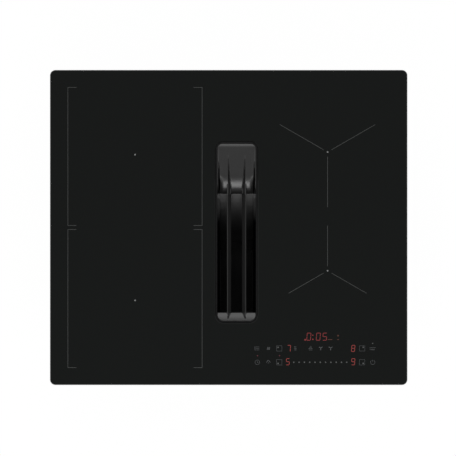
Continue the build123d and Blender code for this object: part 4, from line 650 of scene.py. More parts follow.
# Icon strokes, in millimetres round the middle of each key.
ICONS = {
    "programme": (((-2.9, 2.5), (3.4, 2.5)), ((-2.9, 0.0), (3.4, 0.0)), ((-2.9, -2.5), (3.4, -2.5)),
                  ((-3.9, 3.3), (-3.9, -3.3))),
    "boost": (((-1.9, -2.3), (-1.1, 2.3)), ((-0.2, -2.3), (0.6, 2.3)), ((1.5, -2.3), (2.3, 2.3))),
    "heat": (((-1.8, 2.2), (-0.6, 2.9), (0.6, 2.1), (1.8, 2.8)),
             ((-1.8, -0.3), (-0.6, 0.4), (0.6, -0.4), (1.8, 0.3)),
             ((-1.8, -2.8), (-0.6, -2.1), (0.6, -2.9), (1.8, -2.2))),
    "fan": (((0.0, 0.7), (-1.4, 1.6), (-3.0, 2.4)), ((0.0, 0.7), (1.4, 1.6), (3.0, 2.4)),
            ((0.0, 0.7), (0.2, -1.2), (0.0, -3.0))),
    "hood": (((-1.2, 2.8), (1.2, 2.8), (1.2, 1.0), (-1.2, 1.0), (-1.2, 2.8)),
             ((-1.2, 1.0), (-3.0, -0.6), (3.0, -0.6), (1.2, 1.0)), ((-3.0, -2.6), (3.0, -2.6))),
    "bars": (((-5.2, 1.4), (5.0, 1.4)), ((-5.2, -1.2), (3.6, -1.2)), ((-3.4, -2.4), (3.0, -2.4))),
    "clock": (((0.0, 2.4), (0.0, 0.0), (1.7, -1.0)),),
    "lamp": (((-3.3, -0.6), (-1.1, 2.7), (1.1, 2.7), (3.3, -0.6)), ((-0.8, -1.0), (0.8, -1.0)),
             ((-0.8, 3.3), (0.8, 3.3))),
    "power": (((0.0, 4.2), (0.0, 1.0)),),
}
RINGS = {"clock": (3.7, 0.0, 360.0), "power": (3.6, 125.0, 290.0)}
# Icons whose strokes are wider than the icon line, by how much.
BOLD_ICONS = {"fan": 2.2, "boost": 1.7, "heat": 1.4, "lamp": 1.5}
ICON_PLACES = (
    ("programme", KEYS_LEFT[0], ROW_REAR), ("boost", KEYS_LEFT[1], ROW_REAR),
    ("heat", HEAT_KEY, ROW_REAR), ("hood", FAN_KEYS[0], ROW_REAR), ("fan", FAN_KEYS[1], ROW_REAR),
    ("fan", FAN_KEYS[2], ROW_REAR), ("bars", KEYS_RIGHT[1], ROW_REAR),
    ("clock", KEYS_LEFT[0], ROW_FRONT), ("lamp", KEYS_LEFT[1], ROW_FRONT),
    ("power", KEYS_RIGHT[1], ROW_FRONT),
)
# Square zone keys, each with the corner that its marker stands in.
ZONE_KEYS = ((KEYS_LEFT[2], ROW_REAR, -1, 1), (KEYS_LEFT[2], ROW_FRONT, -1, -1),
             (KEYS_RIGHT[0], ROW_REAR, 1, 1), (KEYS_RIGHT[0], ROW_FRONT, 1, -1))
SQUARE = ((-1, -1), (1, -1), (1, 1), (-1, 1))
# A key's line as a share of the icon line, and its marker's place and size as shares of half a key.
KEY_LINE, MARKER_PLACE, MARKER_SIZE = 0.8, 0.42, 0.55
PILOT_DOT = (237.6, -191.3)


def drawn(points, x, y):
    """Moves icon points to their key, in metres."""
    return [((x + across) * MM, (y + along) * MM) for across, along in points]


class COOKTOP_OT_panel_print(bpy.types.Operator):
    """Prints the icons, zone keys and slider dots of the touch panel"""
    bl_idname = "cooktop.panel_print"
    bl_label = "Print the touch panel"

    def execute(self, context):
        panel = context.scene.cooktop_panel
        layer = PrintedLayer(context.scene.cooktop_marks.thickness)
        for icon, x, y in ICON_PLACES:
            for points in ICONS[icon]:
                layer.stroke(drawn(points, x, y), panel.line * BOLD_ICONS.get(icon, 1.0))
            if icon in RINGS:
                radius, start, sweep = RINGS[icon]
                layer.arc((x * MM, y * MM), radius * MM, panel.line, start, sweep)
        half = panel.key / 2
        for x, y, *_ in ZONE_KEYS:
            middle = Vector((x, y)) * MM
            square = [middle + Vector(corner) * half for corner in SQUARE]
            layer.stroke(square, panel.line * KEY_LINE, closed=True)
        layer.tint = 1
        for x, y, across, along in ZONE_KEYS:
            marker = Vector((x, y)) * MM + Vector((across, along)) * half * MARKER_PLACE
            layer.disc(marker, half * MARKER_SIZE)
        start, end = SLIDER_ENDS
        for step in range(panel.slider_dots):
            x = start + (end - start) * step / (panel.slider_dots - 1)
            layer.disc((x * MM, ROW_FRONT * MM), panel.slider_dot, SMALL_DOT_SIDES)
        layer.disc(Vector(PILOT_DOT) * MM, panel.pilot, PILOT_SIDES)
        chosen = context.scene.cooktop_finishes
        inks = [finished("icon_finish", "print", chosen.icon_grey),
                finished("print_finish", "print", chosen.print_grey)]
        place_piece("panel_print", layer.mesh, "hob", inks)
        return {"FINISHED"}


# Ends of the seven segments in a digit one wide and one high, and the segments of each digit.
SEGMENTS = {"a": ((0, 1), (1, 1)), "b": ((1, 1), (1, 0.5)), "c": ((1, 0.5), (1, 0)),
            "d": ((0, 0), (1, 0)), "e": ((0, 0.5), (0, 0)), "f": ((0, 1), (0, 0.5)),
            "g": ((0, 0.5), (1, 0.5))}
DIGITS = {0: "abcdef", 5: "afgcd", 7: "abc", 8: "abcdefg", 9: "abcdfg"}
# What is lit, in millimetres on the glass: digits, dots with their sizes, and dim strokes.
DIGITS_FRONT = -221.6
ZONE_DIGITS = ((7, 99.3, ROW_REAR), (5, 97.6, DIGITS_FRONT), (8, 205.5, ROW_REAR),
               (9, 205.5, DIGITS_FRONT))
TIMER_DIGITS = ((0, 132.3), (0, 147.9), (5, 158.6))
TIMER_Y = -180.2
TIMER_DOTS = ((126.2, -185.4, 2.8), (138.9, -177.8, 2.0), (138.9, -184.6, 2.2))
DIM_STROKES = (((163.6, -185.0), (171.0, -185.0)), ((179.0, -178.6), (182.2, -178.6)),
               ((180.6, -177.0), (180.6, -180.2)), ((179.0, -185.0), (182.2, -185.0)))
PILOT_LIGHTS = ((47.6, -211.6), (83.9, -211.6))
# How a digit leans, and how far a segment's tips and shoulders stand back, in segment widths.
SEGMENT_SLANT, SEGMENT_TIP, SEGMENT_SHOULDER = 0.08, 0.12, 0.6


def light_digit(layer, digit, middle, width, height, bar):
    """Draws one lit digit from pointed segments, leaning a little to the right."""
    for name in DIGITS[digit]:
        ends = []
        for across, along in SEGMENTS[name]:
            x, y = (across - 0.5) * width, (along - 0.5) * height
            ends.append(middle + Vector((x + y * SEGMENT_SLANT, y)))
        way = (ends[1] - ends[0]).normalized()
        side = Vector((-way.y, way.x)) * bar / 2
        tip = way * bar * SEGMENT_TIP
        shoulder = way * bar * SEGMENT_SHOULDER
        layer.shape((ends[0] + tip, ends[0] + shoulder - side, ends[1] - shoulder - side,
                     ends[1] - tip, ends[1] - shoulder + side, ends[0] + shoulder + side))


class COOKTOP_OT_lit_digits(bpy.types.Operator):
    """Lights the zone digits and the timer behind the glass"""
    bl_idname = "cooktop.lit_digits"
    bl_label = "Light the digits"

    def execute(self, context):
        panel = context.scene.cooktop_panel
        chosen = context.scene.cooktop_finishes
        layer = PrintedLayer(context.scene.cooktop_marks.thickness)
        for digit, x, y in ZONE_DIGITS:
            light_digit(layer, digit, Vector((x, y)) * MM, panel.digit_width, panel.digit_height,
                        panel.segment)
        layer.tint = 1
        for digit, x in TIMER_DIGITS:
            light_digit(layer, digit, Vector((x, TIMER_Y)) * MM, panel.timer_width,
                        panel.timer_height, panel.segment)
        for x, y, diameter in TIMER_DOTS:
            layer.disc((x * MM, y * MM), diameter * MM, SMALL_DOT_SIDES)
        layer.tint = 2
        for points in DIM_STROKES:
            layer.stroke(drawn(points, 0.0, 0.0), panel.segment)
        layer.tint = 3
        for place in PILOT_LIGHTS:
            layer.disc(Vector(place) * MM, panel.pilot, PILOT_SIDES)
        lights = [lit("zone_digit_light", chosen.lit_red), lit("timer_light", chosen.lit_rose),
                  lit("dim_light", chosen.lit_dim), lit("pilot_light", chosen.lit_pilot)]
        place_piece("panel_digits", layer.mesh, "hob", lights)
        return {"FINISHED"}


def add_ring(mesh, points):
    """Adds one ring of vertices."""
    return [mesh.verts.new(point) for point in points]


def join_rings(mesh, rings):
    """Joins closed rings of equal count with faces."""
    for here, there in zip(rings, rings[1:]):
        for index in range(len(here)):
            after = (index + 1) % len(here)
            mesh.faces.new((here[index], here[after], there[after], there[index]))


def add_tube(mesh, outlines):
    """Adds a closed body that runs through outlines of equal count."""
    rings = [add_ring(mesh, points) for points in outlines]
    join_rings(mesh, rings)
    mesh.faces.new(rings[0])
    mesh.faces.new(rings[-1])


# Vertices nearer than this are one.
WELD = 1e-6


def solid_mesh(node):
    """A welded copy of one solid's mesh."""
    mesh = bmesh.new()
    mesh.from_mesh(frame["nodes"][node].data)
    bmesh.ops.remove_doubles(mesh, verts=mesh.verts, dist=WELD)
    return mesh


def smooth(data, sharp=None):
    """Shades a mesh smoothly, apart from edges over an angle in degrees where one is given."""
    for face in data.polygons:
        face.use_smooth = True
    if sharp:
        data.set_sharp_from_angle(angle=math.radians(sharp))


# Distances from the rear of the hood, in millimetres: where the gutter starts and is full, where
# the side grooves start, where the tongues start and cease to roll off, and where they end.
GUTTER_START, GUTTER_FULL = 6.0, 14.0
GROOVE_START = 27.6
ROLL_START, ROLL_FULL = 51.0, 68.0
TONGUE_END = 83.0
# The vanes: their start and end, their inner side, and the drop and slope of their tops.
VANE_START, VANE_END = 84.0, 280.0
VANE_INNER, VANE_DROP, VANE_SLOPE = 8.6, 2.5, 1.346
# The notches in the lip: their start and end, the places of their middles there and half their
# width.
NOTCH_START, NOTCH_END = 280.0, 289.6
NOTCH_FROM, NOTCH_TO, NOTCH_HALF = 12.4, 14.2, 1.2
# Distance from the middle at which the lip's height is read.
LIP_PLACE = 4.0
# The rounded side of a tongue: its rows and columns, its depth, and how far it draws in towards the
# front, as a share of the groove's width.
SHOULDER_ROWS, SHOULDER_COLUMNS, SHOULDER_DEPTH, SHOULDER_DRAW = 40, 14, 2.6 * MM, 0.6
# The bed of a side groove: its end, how deep it lies at its start and there, its thickness and
# rows, and how far its sides reach into the tongue and the rim.
BED_END, BED_FROM, BED_TO, BED_SHEET, BED_ROWS = 41.0, 0.8 * MM, 2.8 * MM, 2.0 * MM, 6
BED_INNER, BED_OUTER = 1.0 * MM, 0.7 * MM
DOWN = Vector((0.0, 0.0, -1.0))


def eased(value, start, end):
    """Rises smoothly from nought at the start to one at the end."""
    share = min(max((value - start) / (end - start), 0.0), 1.0)
    return share * share * (3.0 - 2.0 * share)


class HoodShape:
    """The hood's rounded sides, the vanes' slopes and the lip's notches, as heights in plan."""

    def __init__(self, solid, casting):
        self.low, self.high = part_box("vent_grille")
        self.middle = (self.low.x + self.high.x) / 2
        self.surface = BVHTree.FromBMesh(solid)
        self.casting = casting

    def top(self, across, y):
        """Height of the plain casting at one place."""
        start = Vector((self.middle + across, y, self.high.z + MM))
        return self.surface.ray_cast(start, DOWN)[0].z

    def fall(self, across, back):
        """How far the surface lies under the crown, by its distances from middle and rear."""
        casting = self.casting
        beyond = max(across - casting.shoulder, 0.0)
        width = casting.gutter - casting.shoulder
        roll = eased(back, ROLL_START * MM, ROLL_FULL * MM)
        tilt = casting.gutter_tilt + (casting.tongue_tilt - casting.gutter_tilt) * roll
        start = eased(back, GUTTER_START * MM, GUTTER_FULL * MM)
        drop = tilt * beyond * beyond / (2 * width) * start
        if back < GROOVE_START * MM:
            drop *= 1.0 - eased(across, casting.gutter, casting.rim)
        return drop

    def add_shoulder(self, mesh, side):
        """Adds the rounded outer side of one side tongue, up to the groove beside the rim."""
        casting = self.casting
        outlines = []
        for row in range(SHOULDER_ROWS + 1):
            back = GROOVE_START * MM + (TONGUE_END - GROOVE_START) * MM * row / SHOULDER_ROWS
            y = self.high.y - back
            crown = self.top(casting.shoulder, y)
            draw = (casting.rim - casting.gutter) * SHOULDER_DRAW * row / SHOULDER_ROWS
            outer = casting.gutter - draw
            top = []
            for column in range(SHOULDER_COLUMNS + 1):
                across = casting.shoulder + (outer - casting.shoulder) * column / SHOULDER_COLUMNS
                height = crown - self.fall(across, back)
                top.append(Vector((self.middle + side * across, y, height)))
            outlines.append(top + [point + DOWN * SHOULDER_DEPTH for point in reversed(top)])
        add_tube(mesh, outlines)

    def add_groove_bed(self, mesh, side):
        """Adds the bed of the groove beside one side tongue, which falls away to the front."""
        casting = self.casting
        inner = self.middle + side * (casting.gutter - BED_INNER)
        outer = self.middle + side * (casting.rim + BED_OUTER)
        outlines = []
        for row in range(BED_ROWS + 1):
            share = row / BED_ROWS
            back = (GROOVE_START + (BED_END - GROOVE_START) * share) * MM
            y = self.high.y - back
            depth = BED_FROM + (BED_TO - BED_FROM) * share
            top = self.top(casting.shoulder, y) - self.fall(casting.gutter, back) - depth
            outlines.append(((inner, y, top), (outer, y, top), (outer, y, top - BED_SHEET),
                             (inner, y, top - BED_SHEET)))
        add_tube(mesh, outlines)

    def level(self, across, back):
        """The greatest height at one place, which only some places have."""
        casting, y = self.casting, self.high.y - back
        if casting.shoulder < across < casting.rim and GUTTER_START * MM < back < TONGUE_END * MM:
            return self.top(casting.shoulder, y) - self.fall(across, back)
        if VANE_INNER * MM < across < casting.ridge and VANE_START * MM < back < VANE_END * MM:
            return self.high.z - VANE_DROP * MM - (casting.ridge - across) * VANE_SLOPE
        if NOTCH_START * MM < back < NOTCH_END * MM:
            share = (back / MM - NOTCH_START) / (NOTCH_END - NOTCH_START)
            middle = NOTCH_FROM + (NOTCH_TO - NOTCH_FROM) * share
            reach = 1.0 - abs(across / MM - middle) / NOTCH_HALF
            if reach > 0.0:
                return self.top(LIP_PLACE * MM, y) - casting.notch * reach
        return math.inf

    def lower(self, vertices):
        """Brings down what stands over the greatest heights."""
        for vertex in vertices:
            across, back = abs(vertex.co.x - self.middle), self.high.y - vertex.co.y
            vertex.co.z = min(vertex.co.z, self.level(across, back))


def baked(piece, context):
    """Puts the result of a piece's modifiers into its mesh."""
    result = bpy.data.meshes.new_from_object(piece.evaluated_get(context.evaluated_depsgraph_get()))
    piece.modifiers.clear()
    piece.data = result
    return result


class COOKTOP_OT_grille(bpy.types.Operator):
    """Rounds the hood's sides and eases the grille's edges and creases, as casting does"""
    bl_idname = "cooktop.grille"
    bl_label = "Ease the grille casting"

    def execute(self, context):
        casting = context.scene.cooktop_casting
        mesh = solid_mesh("vent_grille")
        hood = HoodShape(mesh, casting)
        for side in (-1, 1):
            hood.add_shoulder(mesh, side)
            hood.add_groove_bed(mesh, side)
        piece = place_piece("grille_casting", mesh, "grille",
                            [bpy.data.materials["hood_grey_finish"]])
        rebuilt = piece.modifiers.new("rebuild", "REMESH")
        rebuilt.mode = "VOXEL"
        rebuilt.voxel_size = casting.grain
        hood.lower(baked(piece, context).vertices)
        smoothed = piece.modifiers.new("ease", "SMOOTH")
        smoothed.iterations = casting.easing
        fewer = piece.modifiers.new("thin_out", "DECIMATE")
        fewer.ratio = casting.keep
        smooth(baked(piece, context))
        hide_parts("vent_grille")
        return {"FINISHED"}


# The bend of the filter's rim, in millimetres from the rear of the hood: the last plain place
# behind it, its start and its end, with how many steps it has, how deep the rim is and how much of
# it moves.
BEND_BEHIND, BEND_START, BEND_END, BEND_STEPS = 81.0, 83.0, 91.0, 8
RIM_DEPTH, RIM_REACH = 2.6 * MM, 2.3 * MM
FILTER_SHARP = 30


def cut_rim(mesh, y):
    """Cuts the faces of the filter's rim across at one place."""
    rim = [face for face in mesh.faces
           if min(vertex.co.z for vertex in face.verts) > FILTER_TOP - RIM_DEPTH]
    edges = {edge for face in rim for edge in face.edges}
    vertices = {vertex for face in rim for vertex in face.verts}
    bmesh.ops.bisect_plane(mesh, geom=[*vertices, *edges, *rim], dist=WELD, plane_co=(0.0, y, 0.0),
                           plane_no=(0.0, 1.0, 0.0))


class COOKTOP_OT_filter_body(bpy.types.Operator):
    """Makes the filter cassette, whose rim bends down to its ledge beside the top of the ramp"""
    bl_idname = "cooktop.filter_body"
    bl_label = "Make the filter cassette"

    def execute(self, context):
        drop = context.scene.cooktop_lattice.rim_drop
        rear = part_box("vent_grille")[1].y
        mesh = solid_mesh("filter_frame")
        step = (BEND_END - BEND_START) / BEND_STEPS
        for cut in [BEND_BEHIND] + [BEND_START + step * index for index in range(BEND_STEPS + 1)]:
            cut_rim(mesh, rear - cut * MM)
        for vertex in mesh.verts:
            back = (rear - vertex.co.y) / MM
            if back > (BEND_BEHIND + BEND_START) / 2 and vertex.co.z > FILTER_TOP - RIM_REACH:
                share = min((back - BEND_START) / (BEND_END - BEND_START), 1.0)
                vertex.co.z = FILTER_TOP - drop * share
        bmesh.ops.dissolve_degenerate(mesh, edges=mesh.edges, dist=WELD)
        piece = place_piece("filter_cassette", mesh, "filter",
                            [bpy.data.materials["filter_black_finish"]])
        smooth(piece.data, FILTER_SHARP)
        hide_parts("filter_frame")
        return {"FINISHED"}


# Shares in the filter sheets: the fold of the border's width, how far the strands lap the border,
# and where the two layers lie in the depth.
FOLD_SHARE, LAP_SHARE, LAYER_PLACES = 0.2, 0.5, (0.3, 0.7)


def add_strand(mesh, stations, lattice):
    """Adds one zigzag strand of the lattice, tilted as expanded metal is."""
    half, thin, tilt = lattice.strand / 2, lattice.sheet / 2, lattice.tilt
    add_tube(mesh, [((x + tilt - thin, y, z + half), (x - tilt - thin, y, z - half),
                     (x - tilt + thin, y, z - half), (x + tilt + thin, y, z + half))
                    for x, y, z in stations])


def add_border(mesh, low, high, width):
    """Adds the folded edge of a filter sheet as a closed frame with eased corners."""
    fold = min((high.x - low.x) * FOLD_SHARE, width * FOLD_SHARE)
    profile = ((low.x, fold), (low.x, width - fold), (low.x + fold, width), (high.x - fold, width),
               (high.x, width - fold), (high.x, fold), (high.x - fold, 0.0), (low.x + fold, 0.0))
    rings = []
    for x, inset in profile:
        rings.append(add_ring(mesh, (
            (x, low.y + inset, low.z + inset), (x, high.y - inset, low.z + inset),
            (x, high.y - inset, high.z - inset), (x, low.y + inset, high.z - inset))))
    join_rings(mesh, rings + rings[:1])


def lattice_mesh(low, high, lattice):
    """Two layers of expanded metal in a folded border, filling the box of the filter sheet."""
    mesh = bmesh.new()
    add_border(mesh, low, high, lattice.border)
    reach = lattice.border * LAP_SHARE
    first_y, first_z = low.y + reach, low.z + reach
    steps = int((high.y - low.y - 2 * reach) / (lattice.pitch / 2))
    rows = int((high.z - low.z - 2 * reach) / lattice.row)
    for layer, share in enumerate(LAYER_PLACES):
        x = low.x + (high.x - low.x) * share
        for row in range(1, rows):
            middle = first_z + row * lattice.row
            stations = []
            for step in range(steps + 1):
                up = 1 if (step + row + layer) % 2 else -1
                y = first_y + step * lattice.pitch / 2
                stations.append((x, y, middle + up * lattice.row / 2))
            add_strand(mesh, stations, lattice)
    return mesh


class COOKTOP_OT_filter_lattice(bpy.types.Operator):
    """Makes the expanded metal sheets of the grease filter"""
    bl_idname = "cooktop.filter_lattice"
    bl_label = "Make the filter lattice"

    def execute(self, context):
        metal = bpy.data.materials["filter_aluminium_finish"]
        for side in ("left", "right"):
            node = "filter_mesh_" + side
            mesh = lattice_mesh(*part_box(node), context.scene.cooktop_lattice)
            piece = place_piece("filter_lattice_" + side, mesh, "filter",
                                [metal])
            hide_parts(node)
        return {"FINISHED"}


# Decimal places, in metres, by which the screws of a node are put in order.
SORT_PLACES = 5


def islands(node):
    """The separate solids of one node, each as its vertex places."""
    mesh = solid_mesh(node)
    waiting = set(mesh.verts)
    found = []
    while waiting:
        edge = [waiting.pop()]
        island = []
        while edge:
            vertex = edge.pop()
            island.append(vertex.co.copy())
            for link in vertex.link_edges:
                other = link.other_vert(vertex)
                if other in waiting:
                    waiting.remove(other)
                    edge.append(other)
        found.append(island)
    mesh.free()
    return sorted(found, key=lambda island: tuple(round(value, SORT_PLACES)
                                                  for value in sum(island, Vector())))


ScrewPlace = namedtuple("ScrewPlace", "top outward length head_radius shank_radius")
# Share of a head's height within which a point of the plain solid belongs to its end.
END_SHARE = 0.9


def screw_place(island, head):
    """Where one screw stands and its sizes, read from its plain solid."""
    low = Vector([min(point[axis] for point in island) for axis in range(3)])
    high = Vector([max(point[axis] for point in island) for axis in range(3)])
    size, middle = high - low, (low + high) / 2
    axis = max(range(3), key=lambda axis: abs(size[axis] * 2 - size[axis - 1] - size[axis - 2]))

    def radius(points):
        flat = [Vector([0.0 if side == axis else point[side] - middle[side] for side in range(3)])
                for point in points]
        return max((offset.length for offset in flat), default=0.0)

    near = [point for point in island if point[axis] - low[axis] < head * END_SHARE]
    far = [point for point in island if high[axis] - point[axis] < head * END_SHARE]
    heads_low = radius(near) > radius(far)
    outward = Vector((0.0, 0.0, 0.0))
    outward[axis] = -1.0 if heads_low else 1.0
    top = middle.copy()
    top[axis] = low[axis] if heads_low else high[axis]
    return ScrewPlace(top, outward, size[axis], radius(near + far),
                      radius(far if heads_low else near))


SCREW_SIDES = 36
SCREW_TURNS = [math.tau * side / SCREW_SIDES for side in range(SCREW_SIDES)]
SCREW_SHARP = 40
# The recess: its lobes, their mean reach and swing, the share of its radius at its floor, and the
# shares and drops of its rim. The head's dome follows, then the thread's root and the tip. Shares
# are of the radius, and drops are in heights of the head.
LOBES, LOBE_MEAN, LOBE_SWING = 6, 0.86, 0.14
RECESS_FOOT, RECESS_RIM = 0.85, ((1.0, 0.12), (1.08, 0.04))
HEAD_DOME = ((0.62, 0.0), (0.8, 0.1), (0.92, 0.28), (0.98, 0.5), (1.0, 0.72), (1.0, 0.94),
             (0.97, 1.0))
THREAD_ROOT, TIP_SHARE = 0.86, 0.7


def round_outline(reaches, z):
    """Points round the screw's axis, each at its own reach."""
    return [Vector((reach * math.cos(turn), reach * math.sin(turn), z))
            for reach, turn in zip(reaches, SCREW_TURNS)]


def circle(radius, z):
    """A round outline."""
    return round_outline([radius] * SCREW_SIDES, z)


def lobes(radius, z):
    """The six-lobed outline of the recess."""
    reaches = [radius * (LOBE_MEAN + LOBE_SWING * math.cos(LOBES * turn)) for turn in SCREW_TURNS]
    return round_outline(reaches, z)


def add_screw(mesh, place, screws):
    """Adds one domed screw with a six-lobed recess and a threaded shank."""
    wide, shank, head = place.head_radius, place.shank_radius, screws.head
    outlines = [lobes(screws.recess_radius * RECESS_FOOT, -screws.recess)]
    outlines += [lobes(screws.recess_radius * share, -drop * head) for share, drop in RECESS_RIM]
    outlines += [circle(wide * share, -drop * head) for share, drop in HEAD_DOME]
    depth = head
    while depth + screws.thread < place.length:
        outlines.append(circle(shank * THREAD_ROOT, -depth))
        outlines.append(circle(shank, -depth - screws.thread / 2))
        depth += screws.thread
    outlines.append(circle(shank * TIP_SHARE, -place.length))
    turn = Vector((0.0, 0.0, 1.0)).rotation_difference(place.outward).to_matrix().to_4x4()
    move = Matrix.Translation(place.top) @ turn
    add_tube(mesh, [[move @ point for point in outline] for outline in outlines])


class COOKTOP_OT_screws(bpy.types.Operator):
    """Makes the frame, module and motor screws with their recesses and threads"""
    bl_idname = "cooktop.screws"
    bl_label = "Make the screws"

    def execute(self, context):
        screws = context.scene.cooktop_screws
        metal = bpy.data.materials["screw_zinc_finish"]
        for node in ("frame_screws", "module_screws", "motor_screws"):
            mesh = bmesh.new()
            for island in islands(node):
                add_screw(mesh, screw_place(island, screws.head), screws)
            piece = place_piece(node + "_lobed", mesh, "hob", [metal])
            smooth(piece.data, SCREW_SHARP)
            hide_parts(node)
        return {"FINISHED"}


# The softboxes: their names, the fields of their powers, their widths and depths, and how far they
# lean from overhead to the rear, in degrees.
SOFTBOXES = (("front_softbox", "front_power", (1.2, 0.85), -40),
             ("rear_softbox", "rear_power", (1.3, 1.0), 28))
LAMP_DISTANCE = 1.8


def add_softbox(name, power, size, lean):
    """Adds one soft rectangular lamp that looks at the middle of the glass."""
    data = bpy.data.lights.new(name, "AREA")
    data.shape = "RECTANGLE"
    data.energy = power
    data.size, data.size_y = size
    angle = math.radians(lean)
    direction = Vector((0.0, math.sin(angle), math.cos(angle)))
    lamp = link_object(name, data)
    lamp.location = direction.normalized() * LAMP_DISTANCE
    lamp.rotation_euler = direction.to_track_quat("Z", "Y").to_euler()


def seen_directly(sheet):
    """One where the camera, a reflection or clear glass looks straight at the surface."""
    path = sheet.add("LightPath").outputs
    seen = sheet.math("MAXIMUM", path["Is Camera Ray"], path["Is Glossy Ray"])
    return sheet.math("MAXIMUM", seen, path["Is Transmission Ray"])


# The floor lies a hair under the object and is clear from below, so that the underside can be seen.
FLOOR_GAP = 0.2 * MM
FLOOR_COLOUR = (0.9, 0.9, 0.9, 1.0)
FLOOR_SHARE, FLOOR_STRENGTH = 0.96, 1.02
# Brightness of the sky by its height, and how far it is dimmed low at the front and at both sides.
SKY = ((0.0, 1.0), (0.10, 0.9), (0.30, 0.75), (0.55, 0.9), (0.85, 0.9), (0.95, 0.155), (1.0, 0.155))
FRONT_START, FRONT_END, FRONT_DIM = 0.40, 0.80, 0.88
SIDE_START, SIDE_END, SIDE_DIM = 0.25, 0.70, 0.5
CLIP_END = 60.0


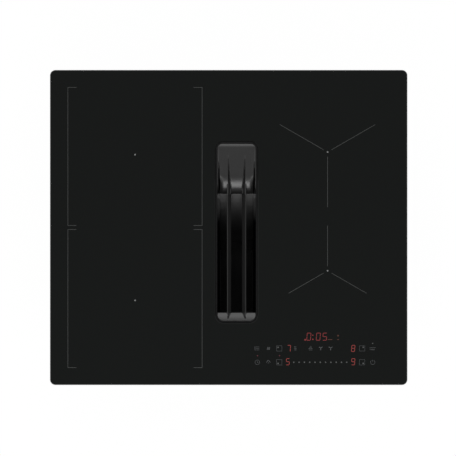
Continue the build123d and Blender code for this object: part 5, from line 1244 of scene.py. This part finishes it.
class COOKTOP_OT_stage(bpy.types.Operator):
    """Sets the camera over the glass, the white floor, the sky and two softboxes"""
    bl_idname = "cooktop.stage"
    bl_label = "Set the stage"

    def execute(self, context):
        stage = context.scene.cooktop_stage
        self.add_floor(stage)
        self.add_sky(context.scene)
        for name, power, size, lean in SOFTBOXES:
            add_softbox(name, getattr(stage, power), size, lean)
        self.add_camera(context.scene, stage)
        context.scene.view_settings.view_transform = "Standard"
        return {"FINISHED"}

    def add_floor(self, stage):
        """Lays the white floor, which keeps the object's shadow."""
        material = bpy.data.materials.new("floor_white")
        material.use_nodes = True
        sheet = NodeSheet(material.node_tree)
        nodes = material.node_tree.nodes
        nodes.remove(nodes["Principled BSDF"])
        matt = sheet.add("BsdfDiffuse", None, {"Color": FLOOR_COLOUR}).outputs[0]
        white = sheet.add("Emission", None, {"Strength": FLOOR_STRENGTH}).outputs[0]
        share = sheet.math("MULTIPLY", seen_directly(sheet), FLOOR_SHARE)
        mixed = sheet.add("MixShader", None, {0: share, 1: matt, 2: white}).outputs[0]
        behind = sheet.add("NewGeometry").outputs["Backfacing"]
        clear = sheet.add("BsdfTransparent").outputs[0]
        either = sheet.add("MixShader", None, {0: behind, 1: mixed, 2: clear}).outputs[0]
        sheet.feed(nodes["Material Output"].inputs["Surface"], either)
        mesh = bmesh.new()
        bmesh.ops.create_grid(mesh, x_segments=1, y_segments=1, size=stage.floor_size / 2,
                              matrix=Matrix.Translation((0.0, 0.0, UNDERSIDE - FLOOR_GAP)))
        floor = mesh_object("floor", mesh, [material])

    def add_sky(self, scene):
        """Lights the scene from all round, and shows white to the camera."""
        world = bpy.data.worlds.new("studio_sky")
        world.use_nodes = True
        sheet = NodeSheet(world.node_tree)
        way = sheet.axes(sheet.add("TexCoord").outputs["Generated"])
        ramp = sheet.add("ValToRGB", None, {"Fac": way["Z"]})
        stops = ramp.color_ramp.elements
        while len(stops) < len(SKY):
            stops.new(0.5)  # Its place follows below.
        for stop, (position, level) in zip(stops, SKY):
            stop.position = position
            stop.color = (level, level, level, 1.0)
        front = sheet.slope(way["Y"], -FRONT_START, -FRONT_END, last=FRONT_DIM)
        side = sheet.slope(sheet.math("ABSOLUTE", way["X"]), SIDE_START, SIDE_END, last=SIDE_DIM)
        dark = sheet.math("MAXIMUM", front, side)
        dimmed = sheet.shade(ramp.outputs[0], sheet.math("SUBTRACT", 1.0, dark))
        camera = sheet.add("LightPath").outputs["Is Camera Ray"]
        seen = sheet.add("Mix", {"data_type": "RGBA"}, {0: camera, 6: dimmed, 7: WHITE})
        sheet.feed(world.node_tree.nodes["Background"].inputs["Color"], seen.outputs[2])
        scene.world = world

    def add_camera(self, scene, stage):
        """Hangs the camera straight over the glass."""
        data = bpy.data.cameras.new("camera")
        data.lens = data.sensor_width * (stage.height - GLASS_TOP) / stage.view
        data.clip_end = CLIP_END
        camera = link_object("camera", data)
        camera.location = (stage.centre_x, stage.centre_y, stage.height)
        scene.camera = camera


PROPERTY_GROUPS = (
    ("cooktop_finishes", CooktopFinishes), ("cooktop_marks", CooktopMarks),
    ("cooktop_panel", CooktopPanel), ("cooktop_casting", CooktopCasting),
    ("cooktop_lattice", CooktopLattice), ("cooktop_screws", CooktopScrews),
    ("cooktop_stage", CooktopStage),
)
OPERATORS = (
    COOKTOP_OT_finishes, COOKTOP_OT_zone_marks, COOKTOP_OT_panel_print, COOKTOP_OT_lit_digits,
    COOKTOP_OT_grille, COOKTOP_OT_filter_body, COOKTOP_OT_filter_lattice, COOKTOP_OT_screws,
    COOKTOP_OT_stage,
)


class COOKTOP_PT_dressing(bpy.types.Panel):
    """Lists the steps and the sizes and colours that they use"""
    bl_idname = "COOKTOP_PT_dressing"
    bl_label = "Cooktop dressing"
    bl_space_type = "VIEW_3D"
    bl_region_type = "UI"
    bl_category = "Cooktop"

    def draw(self, context):
        for operator in OPERATORS:
            self.layout.operator(operator.bl_idname)
        for name, group in PROPERTY_GROUPS:
            box = self.layout.box()
            for field in group.__annotations__:
                box.prop(getattr(context.scene, name), field)


CLASSES = tuple(group for name, group in PROPERTY_GROUPS) + OPERATORS + (COOKTOP_PT_dressing,)


def register():
    """Registers the classes and gives the scene its property groups."""
    for entry in CLASSES:
        bpy.utils.register_class(entry)
    for name, group in PROPERTY_GROUPS:
        setattr(bpy.types.Scene, name, PointerProperty(type=group))


def unregister():
    """Takes back what register adds."""
    for name, group in PROPERTY_GROUPS:
        delattr(bpy.types.Scene, name)
    for entry in reversed(CLASSES):
        bpy.utils.unregister_class(entry)


def main():
    """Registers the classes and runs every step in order."""
    register()
    bpy.ops.cooktop.finishes()
    bpy.ops.cooktop.zone_marks()
    bpy.ops.cooktop.panel_print()
    bpy.ops.cooktop.lit_digits()
    bpy.ops.cooktop.grille()
    bpy.ops.cooktop.filter_body()
    bpy.ops.cooktop.filter_lattice()
    bpy.ops.cooktop.screws()
    bpy.ops.cooktop.stage()


if __name__ == "__main__":
    main()
